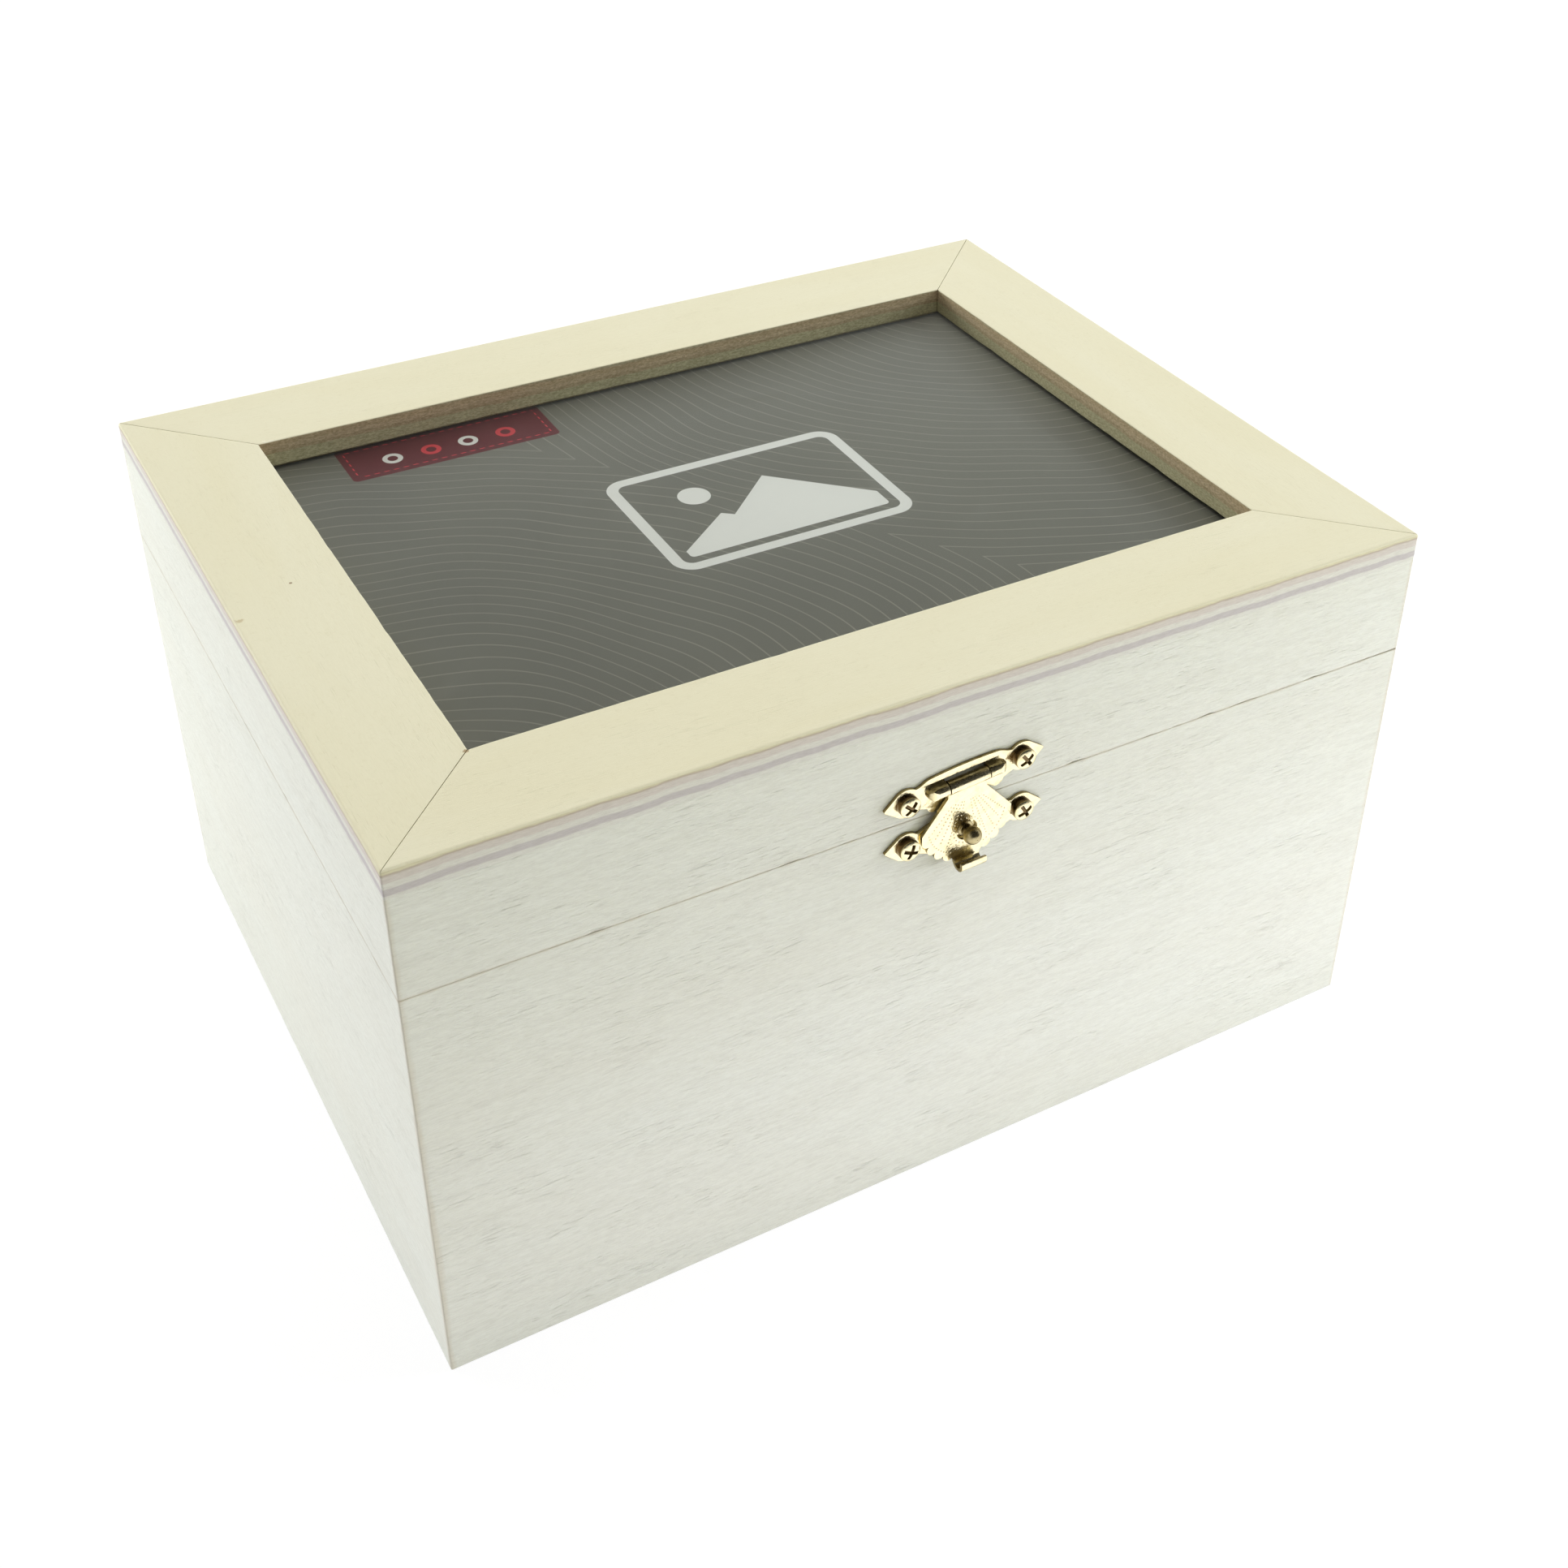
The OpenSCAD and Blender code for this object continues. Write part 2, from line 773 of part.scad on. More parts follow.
module hinge_pin() {
    translate([-hinge_l / 2 - rivet_h, 0, hinge_out])
        rotate([0, 90, 0]) {
            cylinder(d = hinge_pin_d, h = hinge_l + 2 * rivet_h);
            cylinder(d1 = hinge_pin_d, d2 = hinge_pin_d * 1.5, h = rivet_h);
            translate([0, 0, hinge_l + rivet_h])
                cylinder(d1 = hinge_pin_d * 1.5, d2 = hinge_pin_d, h = rivet_h);
        }
}

module left_hinge_base_leaf() color(brass) on_back(-hinge_x, hinge_z) hinge_leaf(-1);

module left_hinge_lid_leaf() color(brass) on_back(-hinge_x, hinge_z) hinge_leaf(1);

module left_hinge_pin() color(brass) on_back(-hinge_x, hinge_z) hinge_pin();

module right_hinge_base_leaf() color(brass) on_back(hinge_x, hinge_z) hinge_leaf(-1);

module right_hinge_lid_leaf() color(brass) on_back(hinge_x, hinge_z) hinge_leaf(1);

module right_hinge_pin() color(brass) on_back(hinge_x, hinge_z) hinge_pin();

module leaf_screw() {
    difference() {
        countersunk(0);
        translate([0, 0, leaf_t])
            cross_recess(leaf_cross_l, leaf_cross_w, leaf_cross_depth);
    }
    translate([0, 0, hold - leaf_bite])
        cylinder(d = leaf_shank_d, h = leaf_bite + 0.1);
}

module hinge_base_screws() color(brass) at_hinges() leaf_screw_places(-1) leaf_screw();

module hinge_lid_screws() color(brass) at_hinges() leaf_screw_places(1) leaf_screw();

base_front_wall();
base_back_wall();
base_left_wall();
base_right_wall();
base_floor();
lid_front_wall();
lid_back_wall();
lid_left_wall();
lid_right_wall();
frame_front_rail();
frame_back_rail();
frame_left_rail();
frame_right_rail();
clear_pane();
picture_card();
backing_board();
pocket_front_strip();
pocket_back_strip();
pocket_left_strip();
pocket_right_strip();
turn_button_front();
turn_button_back();
turn_button_left();
turn_button_right();
turn_button_screws();
hasp_plate();
hasp_pin();
hasp();
hasp_plate_screws();
catch_plate();
catch_stud();
catch_plate_screws();
left_hinge_base_leaf();
left_hinge_lid_leaf();
left_hinge_pin();
right_hinge_base_leaf();
right_hinge_lid_leaf();
right_hinge_pin();
hinge_base_screws();
hinge_lid_screws();
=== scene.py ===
"""The looks of a plywood keepsake box with a picture frame lid: finishes, edges, light and camera."""
import json
import math

import bmesh
import bpy
from mathutils import Euler, Matrix, Vector, noise


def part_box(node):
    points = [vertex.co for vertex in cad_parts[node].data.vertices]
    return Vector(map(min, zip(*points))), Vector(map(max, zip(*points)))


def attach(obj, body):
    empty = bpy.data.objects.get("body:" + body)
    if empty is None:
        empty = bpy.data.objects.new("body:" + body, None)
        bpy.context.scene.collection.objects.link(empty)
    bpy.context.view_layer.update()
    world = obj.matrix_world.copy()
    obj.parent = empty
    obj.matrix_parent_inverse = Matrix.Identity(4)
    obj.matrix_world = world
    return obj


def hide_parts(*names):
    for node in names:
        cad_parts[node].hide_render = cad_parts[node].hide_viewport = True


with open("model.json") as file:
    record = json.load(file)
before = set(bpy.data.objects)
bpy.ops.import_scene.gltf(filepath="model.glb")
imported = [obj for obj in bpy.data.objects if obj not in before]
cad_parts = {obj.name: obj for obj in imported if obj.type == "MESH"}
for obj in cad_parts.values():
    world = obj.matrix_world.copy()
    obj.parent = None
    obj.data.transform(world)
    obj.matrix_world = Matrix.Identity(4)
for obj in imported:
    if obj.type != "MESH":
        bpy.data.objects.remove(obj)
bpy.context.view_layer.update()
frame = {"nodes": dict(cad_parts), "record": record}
NODES = frame["nodes"]

MM = 0.001
BODY_OF = {n: body for body, members in frame["record"]["behaviour"]["bodies"].items() for n in members}
SLOT_OF = {row["node"]: row["material_slot"] for row in frame["record"]["subparts"]}

# Main sizes, read from the frame
RAIL_LOW, RAIL_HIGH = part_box("frame_front_rail")
SIDE_LOW, SIDE_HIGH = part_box("frame_left_rail")
WALL_LOW, WALL_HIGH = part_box("base_front_wall")
BOX_W = RAIL_HIGH.x - RAIL_LOW.x
BOX_D = SIDE_HIGH.y - SIDE_LOW.y
BOX_H = RAIL_HIGH.z
RAIL_W = RAIL_HIGH.y - RAIL_LOW.y
RAIL_Z = RAIL_LOW.z
LID_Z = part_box("lid_front_wall")[0].z
BASE_H = WALL_HIGH.z
WALL_T = WALL_HIGH.y - WALL_LOW.y
FOOT_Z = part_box("base_floor")[0].z
# How far each wall's lip closes the parting line
LINE_FILL = 0.12 * MM


# Shader building

def add(tree, kind, inputs=None, **settings):
    """A shader node with its settings and inputs, which are sockets or plain values."""
    made = tree.nodes.new(kind)
    for name, value in settings.items():
        setattr(made, name, value)
    for name, value in (inputs or {}).items():
        if isinstance(value, bpy.types.NodeSocket):
            tree.links.new(value, made.inputs[name])
        else:
            made.inputs[name].default_value = value
    return made


def maths(tree, operation, a, b=0.0, clamp=False):
    made = add(tree, "ShaderNodeMath", {0: a, 1: b}, operation=operation, use_clamp=clamp)
    return made.outputs[0]


def times(tree, a, b):
    return maths(tree, "MULTIPLY", a, b)


def plus(tree, a, b, clamp=False):
    return maths(tree, "ADD", a, b, clamp)


def minus(tree, a, b):
    return maths(tree, "SUBTRACT", a, b)


def length_of(tree, a, b):
    """Length of the vector with these two parts."""
    return maths(tree, "SQRT", plus(tree, times(tree, a, a), times(tree, b, b)))


def parts(tree, vector):
    """X, Y and Z of a vector."""
    return list(add(tree, "ShaderNodeSeparateXYZ", {0: vector}).outputs)


def mix_rgb(tree, factor, a, b, blend="MIX"):
    made = tree.nodes.new("ShaderNodeMix")
    made.data_type = "RGBA"
    made.blend_type = blend
    for socket, value in ((made.inputs[0], factor), (made.inputs[6], a), (made.inputs[7], b)):
        if isinstance(value, bpy.types.NodeSocket):
            tree.links.new(value, socket)
        elif isinstance(value, (tuple, list)):
            socket.default_value = (*value[:3], 1.0)
        else:
            socket.default_value = value
    return made.outputs[2]


def ramp(tree, value, low, high, to_low=0.0, to_high=1.0):
    """The value's way from low to high, as a way from to_low to to_high that stops at both ends."""
    made = add(tree, "ShaderNodeMapRange", {0: value, 1: low, 2: high, 3: to_low, 4: to_high})
    return made.outputs[0]


def srgb(r, g, b):
    """An 8-bit display colour as linear values."""
    return tuple(((c / 255 + 0.055) / 1.055) ** 2.4 if c > 10 else c / 255 / 12.92 for c in (r, g, b))


def new_material(name):
    mat = bpy.data.materials.new(name)
    mat.use_nodes = True
    tree = mat.node_tree
    tree.nodes.clear()
    out = tree.nodes.new("ShaderNodeOutputMaterial")
    return mat, tree, out


def object_mm(tree):
    """Position in the shared frame, in millimetres."""
    coord = tree.nodes.new("ShaderNodeTexCoord")
    scaled = add(tree, "ShaderNodeVectorMath", {0: coord.outputs["Object"]}, operation="SCALE")
    scaled.inputs["Scale"].default_value = 1 / MM
    return scaled.outputs[0]


def stretched(tree, place, scale, shift=(0, 0, 0)):
    return add(tree, "ShaderNodeMapping", {"Vector": place, "Scale": scale, "Location": shift}).outputs[0]


def noise_value(tree, place, scale=1.0, detail=2.0, rough=0.5, distort=0.0):
    made = add(tree, "ShaderNodeTexNoise",
        {"Vector": place, "Scale": scale, "Detail": detail, "Roughness": rough, "Distortion": distort})
    return made.outputs["Fac"]


def wander(tree, value, drift, size):
    """The value with a noise's ups and downs, this size each way."""
    return plus(tree, value, ramp(tree, drift, 0.3, 0.7, -size, size))


def bump(tree, height, distance, strength=1.0):
    inputs = {"Height": height, "Distance": distance, "Strength": strength}
    return add(tree, "ShaderNodeBump", inputs).outputs[0]


def principled(tree, out, inputs):
    shader = add(tree, "ShaderNodeBsdfPrincipled", inputs)
    tree.links.new(shader.outputs[0], out.inputs["Surface"])


def mix_shaders(tree, out, share, first, second):
    """The output's surface: the first shader, with a share of the second."""
    both = add(tree, "ShaderNodeMixShader", {0: share, 1: first.outputs[0], 2: second.outputs[0]})
    tree.links.new(both.outputs[0], out.inputs["Surface"])


# Wood

def grain(tree, place, axis, layer):
    """One noise layer of a veneer, its long way on one axis."""
    along, across, detail, rough, distort, shift = GRAIN[layer]
    scale = tuple(along if name == axis else across for name in "xyz")
    return noise_value(tree, stretched(tree, place, scale, shift), 1.0, detail, rough, distort)


def veneer(tree, place, axis, look):
    """Colour and height of a bare face veneer, its grain along one axis."""
    tone, dark, warm, streak, pores, cloud = look
    layer = {name: grain(tree, place, axis, name) for name in GRAIN}
    colour = mix_rgb(tree, ramp(tree, layer["broad"], 0.35, 0.68, 0.0, cloud), tone, warm)
    streaks = (("bands", 0.45, 0.75, 0.4), ("fine", 0.42, 0.78, 1.0), ("fibre", 0.5, 0.8, 0.6))
    for name, low, high, share in streaks:
        colour = mix_rgb(tree, ramp(tree, layer[name], low, high, 0.0, streak * share), colour, dark)
    pore = times(tree, ramp(tree, layer["dashes"], 0.60, 0.74), ramp(tree, layer["gate"], 0.40, 0.62))
    colour = mix_rgb(tree, times(tree, pore, pores), colour, tuple(c * PORE_SHADE for c in dark))
    height = minus(tree, plus(tree, layer["fine"], times(tree, layer["fibre"], 0.4)), pore)
    return colour, height


def tan_strips(tree, place, axis, colour):
    """A narrow tan strip along a wall's upright corners and along its sawn parting edge."""
    x, y, z = parts(tree, place)
    half = (BOX_W if axis == "x" else BOX_D) / 2 / MM
    along = maths(tree, "ABSOLUTE", x if axis == "x" else y)
    drift = noise_value(tree, stretched(tree, place, (0.3, 0.3, 0.08)), 1.0, 2.0)
    inwards = minus(tree, half, wander(tree, along, drift, 0.4))
    colour = mix_rgb(tree, ramp(tree, inwards, *CORNER_STRIP, 0.35, 0.0), colour, CORNER_TAN)
    line = maths(tree, "ABSOLUTE", minus(tree, z, (LID_Z + BASE_H) / 2 / MM))
    sawn = wander(tree, line, drift, 0.2)
    return mix_rgb(tree, ramp(tree, sawn, *SAWN_STRIP, 0.3, 0.0), colour, SAWN_TAN)


def wall_ply(axis):
    """Pale wall plywood with its face grain along the given axis."""
    mat, tree, out = new_material("wall_ply_" + axis)
    place = object_mm(tree)
    colour, height = veneer(tree, place, axis, WALL_VENEER)
    colour = tan_strips(tree, place, axis, colour)
    principled(tree, out, {"Base Color": colour, "Roughness": 0.72, "Specular IOR Level": 0.3,
        "Normal": bump(tree, height, 0.10 * MM)})
    return mat


def ply_edge(tree, place, depth, bands, rough, fibre_scale):
    """Layers of a plywood edge by depth below its face, broken up by cut fibres."""
    wobble = noise_value(tree, stretched(tree, place, (0.12, 0.12, 0.01)), 1.0, 3.0)
    drift = noise_value(tree, stretched(tree, place, (0.011, 0.011, 0.01), shift=(4.2, 1.3, 0.0)), 1.0, 1.0)
    depth = wander(tree, wander(tree, depth, wobble, 0.2), drift, 0.25)
    edge = bands[0][1]
    for start, tone in bands[1:]:
        edge = mix_rgb(tree, ramp(tree, depth, start - 0.15, start + 0.15), edge, tone)
    fibres = noise_value(tree, stretched(tree, place, fibre_scale), 1.0, 4.0, 0.65)
    shaded = mix_rgb(tree, 1.0, edge, FIBRE_SHADE, "MULTIPLY")
    return mix_rgb(tree, ramp(tree, fibres, 0.35, 0.75, 0.0, rough), edge, shaded), fibres


def frame_ply(axis):
    """Cream veneer above, and the layered edge of the plywood on upright faces."""
    mat, tree, out = new_material("frame_ply_" + axis)
    place = object_mm(tree)
    colour, height = veneer(tree, place, axis, CREAM_VENEER)
    x, y, z = parts(tree, place)
    speck = noise_value(tree, place, 1.1, 3.0, 0.7)
    colour = mix_rgb(tree, ramp(tree, speck, 0.58, 0.72, 0.0, 0.28), colour, CREAM_DARK)
    for (px, py), radius, tone in FRAME_MARKS:
        there = add(tree, "ShaderNodeVectorMath", {0: place, 1: (px, py, BOX_H / MM)}, operation="DISTANCE")
        ring = wander(tree, there.outputs["Value"], speck, 0.5 * radius)
        colour = mix_rgb(tree, ramp(tree, ring, radius * 0.7, radius * 1.1, 0.85, 0.0), colour, tone)
    depth = minus(tree, BOX_H / MM, z)
    outer, fibres = ply_edge(tree, place, depth, EDGE_BANDS, 0.55, (0.5, 0.5, 4.0))
    inner, _ = ply_edge(tree, place, depth, WINDOW_BANDS, 1.5, (1.3, 1.3, 3.2))
    window = [(size / 2 - RAIL_W) / MM + WINDOW_REACH for size in (BOX_W, BOX_D)]
    within = ramp(tree, box_mask(tree, x, y, (0, 0), window), -0.2, 0.2, 1.0, 0.0)
    edge = mix_rgb(tree, within, outer, inner)
    facing = parts(tree, tree.nodes.new("ShaderNodeNewGeometry").outputs["Normal"])
    top = ramp(tree, facing[2], 0.25, 0.5)
    edge_height = times(tree, minus(tree, 1.0, top), times(tree, fibres, 2.0))
    height = plus(tree, times(tree, height, top), edge_height)
    principled(tree, out, {"Base Color": mix_rgb(tree, top, edge, colour), "Roughness": 0.68,
        "Specular IOR Level": 0.3, "Normal": bump(tree, height, 0.04 * MM)})
    return mat


def plain_wood(name, axis, look):
    mat, tree, out = new_material(name)
    colour, height = veneer(tree, object_mm(tree), axis, look)
    principled(tree, out, {"Base Color": colour, "Roughness": 0.75, "Specular IOR Level": 0.25,
        "Normal": bump(tree, height, 0.06 * MM)})
    return mat


def hardboard():
    mat, tree, out = new_material("hardboard")
    place = object_mm(tree)
    fibre = noise_value(tree, place, 0.9, 6.0, 0.75, 1.5)
    speck = noise_value(tree, place, 6.0, 3.0, 0.7)
    colour = mix_rgb(tree, ramp(tree, fibre, 0.35, 0.7), srgb(128, 96, 66), srgb(92, 64, 42))
    colour = mix_rgb(tree, ramp(tree, speck, 0.55, 0.75, 0.0, 0.35), colour, srgb(168, 138, 104))
    principled(tree, out, {"Base Color": colour, "Roughness": 0.62, "Normal": bump(tree, fibre, 0.05 * MM)})
    return mat


# Metal, sheet and card

def brass(name, painted_shade=0.0, dots=False, face=None):
    """Pressed brass with painted shade: browner on the sides that face away from the front. The second
    argument adds this painted shade all over, and a screw whose head ends at y = face has painted shade in
    its recess."""
    mat, tree, out = new_material(name)
    place = object_mm(tree)
    smear = noise_value(tree, place, 0.6, 4.0, 0.6)
    grit = noise_value(tree, place, 9.0, 3.0, 0.7)
    dent = noise_value(tree, place, 1.6, 2.0, 0.5)
    colour = mix_rgb(tree, ramp(tree, smear, 0.35, 0.7), BRASS_TONE, BRASS_WARM)
    facing = parts(tree, tree.nodes.new("ShaderNodeTexCoord").outputs["Normal"])
    # Painted shade: faces that turn away from the front, such as rims and the sides of screw heads, go dark
    # brown
    side = ramp(tree, maths(tree, "ABSOLUTE", facing[1]), 0.45, 0.97, 0.9, painted_shade)
    side = plus(tree, side, ramp(tree, smear, 0.35, 0.7, -0.1, 0.1), clamp=True)
    colour = mix_rgb(tree, side, colour, BRASS_SHADE)
    if face is not None:
        # Painted shade in the recess behind a screw's head
        recess_shade = ramp(tree, minus(tree, parts(tree, place)[1], face / MM), *RECESS_SHADE_DEPTH)
        colour = mix_rgb(tree, times(tree, recess_shade, 0.95), colour, RECESS_SHADE)
    rough = ramp(tree, plus(tree, smear, times(tree, grit, 0.4)), 0.5, 0.95, 0.16, 0.30)
    rough = plus(tree, rough, times(tree, side, 0.08))
    height = plus(tree, dent, times(tree, grit, 0.12))
    if dots:
        punched = punched_dots(tree, place)
        # Painted shade in the punched dots, which the bump also presses in
        colour = mix_rgb(tree, times(tree, punched, 0.5), colour, BRASS_SHADE)
        height = minus(tree, height, times(tree, punched, 0.7))
    principled(tree, out, {"Base Color": colour, "Metallic": 1.0, "Roughness": rough,
        "Normal": bump(tree, height, 0.07 * MM, 0.8)})
    return mat


def polar(tree, across, down):
    """Distance from a point, and the angle from straight down in degrees, the same on both sides."""
    angle = maths(tree, "ARCTAN2", maths(tree, "ABSOLUTE", across), down)
    return length_of(tree, across, down), times(tree, angle, 180 / math.pi)


def between(tree, value, low, high):
    return times(tree, maths(tree, "GREATER_THAN", value, low), maths(tree, "LESS_THAN", value, high))


def dot_at(tree, a, b):
    """1 on a dot where both distances are 0."""
    return ramp(tree, length_of(tree, a, b), DOT_D * 0.3, DOT_D * 0.65, 1.0, 0.0)


def arc_dots(tree, across, down, radius, step, low, high):
    """Dots along an arc round a point, between two angles."""
    reach, angle = polar(tree, across, down)
    along = times(tree, maths(tree, "PINGPONG", angle, step / 2), math.pi / 180 * radius)
    return times(tree, dot_at(tree, minus(tree, reach, radius), along), between(tree, angle, low, high))


def middle_of(node):
    """X and Z of the middle of a node, in millimetres."""
    low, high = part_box(node)
    return (low.x + high.x) / 2 / MM, (low.z + high.z) / 2 / MM


def punched_dots(tree, place):
    """Punched dots of the hasp: rays from its neck, a line inside its scallops and a ring at its hole."""
    pin_x, pin_z = middle_of("hasp_pin")
    stud_x, stud_z = middle_of("catch_stud")
    hole = math.hypot(stud_x - pin_x, stud_z - pin_z)
    down_x, down_z = (stud_x - pin_x) / hole, (stud_z - pin_z) / hole
    x, _, z = parts(tree, place)
    x, z = minus(tree, x, pin_x), minus(tree, z, pin_z)
    across = minus(tree, times(tree, z, down_x), times(tree, x, down_z))
    down = plus(tree, times(tree, x, down_x), times(tree, z, down_z))
    from_hole = minus(tree, down, hole)
    from_arc = minus(tree, down, ARC_DROP)

    reach, angle = polar(tree, across, minus(tree, down, RAY_FROM))
    from_ray = times(tree, maths(tree, "PINGPONG", minus(tree, angle, RAY_FIRST), RAY_STEP / 2),
        times(tree, reach, math.pi / 180))
    rays = dot_at(tree, from_ray, maths(tree, "PINGPONG", reach, DOT_PITCH / 2))
    rays = times(tree, rays, between(tree, angle, RAY_FIRST - 1, RAY_LAST + 1))
    rays = times(tree, rays, maths(tree, "GREATER_THAN", polar(tree, across, from_hole)[0], HOLE_CLEAR))
    rays = times(tree, rays, maths(tree, "LESS_THAN", polar(tree, across, from_arc)[0], ARC_R - ARC_CLEAR))
    rays = times(tree, rays, maths(tree, "GREATER_THAN", down, NECK_CLEAR))
    border = arc_dots(tree, across, from_arc, ARC_R, DOT_PITCH / ARC_R * 180 / math.pi, *ARC_SPAN)
    ring = arc_dots(tree, across, from_hole, HOLE_RING_R, HOLE_RING_STEP, 0, 180)
    return maths(tree, "MAXIMUM", rays, maths(tree, "MAXIMUM", border, ring))


def plated_steel():
    mat, tree, out = new_material("plated_steel")
    place = object_mm(tree)
    smear = noise_value(tree, place, 0.7, 4.0, 0.65)
    lines = noise_value(tree, stretched(tree, place, (0.4, 6.0, 6.0)), 1.0, 3.0, 0.6)
    colour = mix_rgb(tree, smear, srgb(188, 188, 184), srgb(164, 165, 164))
    rough = ramp(tree, lines, 0.3, 0.7, 0.26, 0.42)
    principled(tree, out, {"Base Color": colour, "Metallic": 1.0, "Roughness": rough,
        "Normal": bump(tree, lines, 0.01 * MM)})
    return mat


def clear_sheet():
    mat, tree, out = new_material("clear_sheet")
    haze = noise_value(tree, object_mm(tree), 0.05, 3.0, 0.6, 1.0)
    gloss = add(tree, "ShaderNodeBsdfPrincipled", {"Base Color": (0.8, 0.82, 0.8, 1.0), "Roughness": 0.08})
    clear = add(tree, "ShaderNodeBsdfTransparent", {"Color": (0.97, 0.98, 0.97, 1.0)})
    edge = add(tree, "ShaderNodeLayerWeight", {"Blend": 0.12})
    share = plus(tree, edge.outputs["Fresnel"], ramp(tree, haze, 0.55, 0.75, 0.0, 0.03), clamp=True)
    mix_shaders(tree, out, times(tree, share, SHEET_GLOSS), clear, gloss)
    return mat


def box_mask(tree, x, y, centre, half, corner=0.0):
    """Distance in millimetres outside a rounded rectangle, negative inside."""
    dx, dy = (minus(tree, maths(tree, "ABSOLUTE", minus(tree, value, at)), size - corner)
        for value, at, size in zip((x, y), centre, half))
    outside = length_of(tree, maths(tree, "MAXIMUM", dx, 0.0), maths(tree, "MAXIMUM", dy, 0.0))
    inside = maths(tree, "MINIMUM", maths(tree, "MAXIMUM", dx, dy), 0.0)
    return minus(tree, plus(tree, outside, inside), corner)


def inside_of(tree, distance, soft):
    """1 where the distance is negative, with a soft edge of this many millimetres on both sides of 0."""
    return ramp(tree, distance, -soft, soft, 1.0, 0.0)


def line_of(tree, distance, width):
    """1 on a line of the given width where the distance is 0."""
    return inside_of(tree, minus(tree, maths(tree, "ABSOLUTE", distance), width / 2), PRINT_SOFT)


def rings(tree, x, y, centre, drift):
    """Distance to the nearest of the fine rings round a centre, and the distance to that centre."""
    reach = length_of(tree, minus(tree, x, centre[0]), minus(tree, y, centre[1]))
    reach = wander(tree, reach, drift, RING_WANDER)
    return maths(tree, "PINGPONG", reach, RING_PITCH), reach


def card():
    """Dark grey printed card: two fans of fine rings, a plain picture symbol and a red tab."""
    mat, tree, out = new_material("card")
    place = object_mm(tree)
    x, y, _ = parts(tree, place)
    tone = noise_value(tree, place, 0.02, 2.0)
    grit = noise_value(tree, place, 5.0, 2.0, 0.7)
    colour = mix_rgb(tree, ramp(tree, tone, 0.3, 0.7), CARD_TONE, CARD_LIGHT)
    colour = mix_rgb(tree, ramp(tree, grit, 0.4, 0.7, 0.0, 0.10), colour, CARD_GRIT)
    drift = noise_value(tree, place, 0.018, 1.0)
    (ring_a, reach_a), (ring_b, reach_b) = (rings(tree, x, y, centre, drift) for centre in RING_CENTRES)
    nearer = maths(tree, "LESS_THAN", reach_a, reach_b)
    lines = plus(tree, times(tree, nearer, line_of(tree, ring_a, LINE_W)),
        times(tree, minus(tree, 1.0, nearer), line_of(tree, ring_b, LINE_W)))
    colour = mix_rgb(tree, times(tree, lines, 0.55), colour, CARD_LINE)
    colour = red_tab(tree, x, y, colour, grit)
    colour = mix_rgb(tree, picture_symbol(tree, x, y), colour, CARD_WHITE)
    principled(tree, out, {"Base Color": colour, "Roughness": 0.5, "Normal": bump(tree, grit, 0.008 * MM)})
    return mat


def red_tab(tree, x, y, colour, grit):
    """A dark red tab at the back edge with a stitched border and a row of small rings."""
    (cx, cy), (w, h) = TAB_AT, TAB_HALF
    red = mix_rgb(tree, ramp(tree, grit, 0.35, 0.7, 0.0, 0.3), TAB_RED, TAB_DARK)
    shape = box_mask(tree, x, y, TAB_AT, TAB_HALF, TAB_CORNER)
    colour = mix_rgb(tree, inside_of(tree, shape, 0.08), colour, red)
    stitched = (w - STITCH_INSET, h - STITCH_INSET)
    border = line_of(tree, box_mask(tree, x, y, TAB_AT, stitched, TAB_CORNER / 2), STITCH_W)
    steps = maths(tree, "PINGPONG", plus(tree, x, y), STITCH_STEP)
    colour = mix_rgb(tree, times(tree, border, ramp(tree, steps, 0.45, 0.6)), colour, TAB_CORAL)
    flat = add(tree, "ShaderNodeCombineXYZ", {0: x, 1: y}).outputs[0]
    for offset, tone in TAB_RINGS:
        centre = (cx + offset * w, cy - TAB_RING_DROP, 0.0)
        away = add(tree, "ShaderNodeVectorMath", {0: flat, 1: centre}, operation="DISTANCE").outputs["Value"]
        colour = mix_rgb(tree, line_of(tree, minus(tree, away, TAB_RING_R), TAB_RING_W), colour, tone)
    return colour


def picture_symbol(tree, x, y):
    """A plain landscape symbol: a rounded frame, a sun and two hills."""
    (cx, cy), (w, h) = SYMBOL_AT, SYMBOL_HALF
    border = line_of(tree, box_mask(tree, x, y, SYMBOL_AT, SYMBOL_HALF, SYMBOL_CORNER), SYMBOL_LINE)
    picture = (w - PICTURE_INSET, h - PICTURE_INSET)
    inner = inside_of(tree, box_mask(tree, x, y, SYMBOL_AT, picture, PICTURE_CORNER), PRINT_SOFT)
    (across, up), radius = SUN
    from_sun = length_of(tree, minus(tree, x, cx + across * w), minus(tree, y, cy + up * h))
    drawn = inside_of(tree, minus(tree, from_sun, radius * h), PRINT_SOFT)
    for (across, up), slope in HILLS:
        fall = times(tree, maths(tree, "ABSOLUTE", minus(tree, x, cx + across * w)), slope)
        above = minus(tree, y, minus(tree, cy + up * h, fall))
        drawn = maths(tree, "MAXIMUM", drawn, inside_of(tree, above, PRINT_SOFT))
    return maths(tree, "MAXIMUM", border, times(tree, inner, drawn))


# Noise layers of a veneer: features per millimetre along and across the grain, detail, roughness,
# distortion and shift
GRAIN = {
    "broad": (0.012, 0.05, 3.0, 0.55, 0.6, (0, 0, 0)),
    "bands": (0.05, 0.7, 3.0, 0.6, 0.3, (0, 0, 0)),
    "fine": (0.42, 3.4, 3.0, 0.65, 0.5, (0, 0, 0)),
    "fibre": (0.8, 6.4, 3.0, 0.65, 0.4, (2.2, 5.1, 6.4)),
    "dashes": (0.24, 3.2, 2.0, 0.6, 0.4, (7.3, 1.9, 4.4)),
    "gate": (0.05, 0.14, 2.0, 0.5, 0.0, (3.1, 8.2, 2.7)),
}
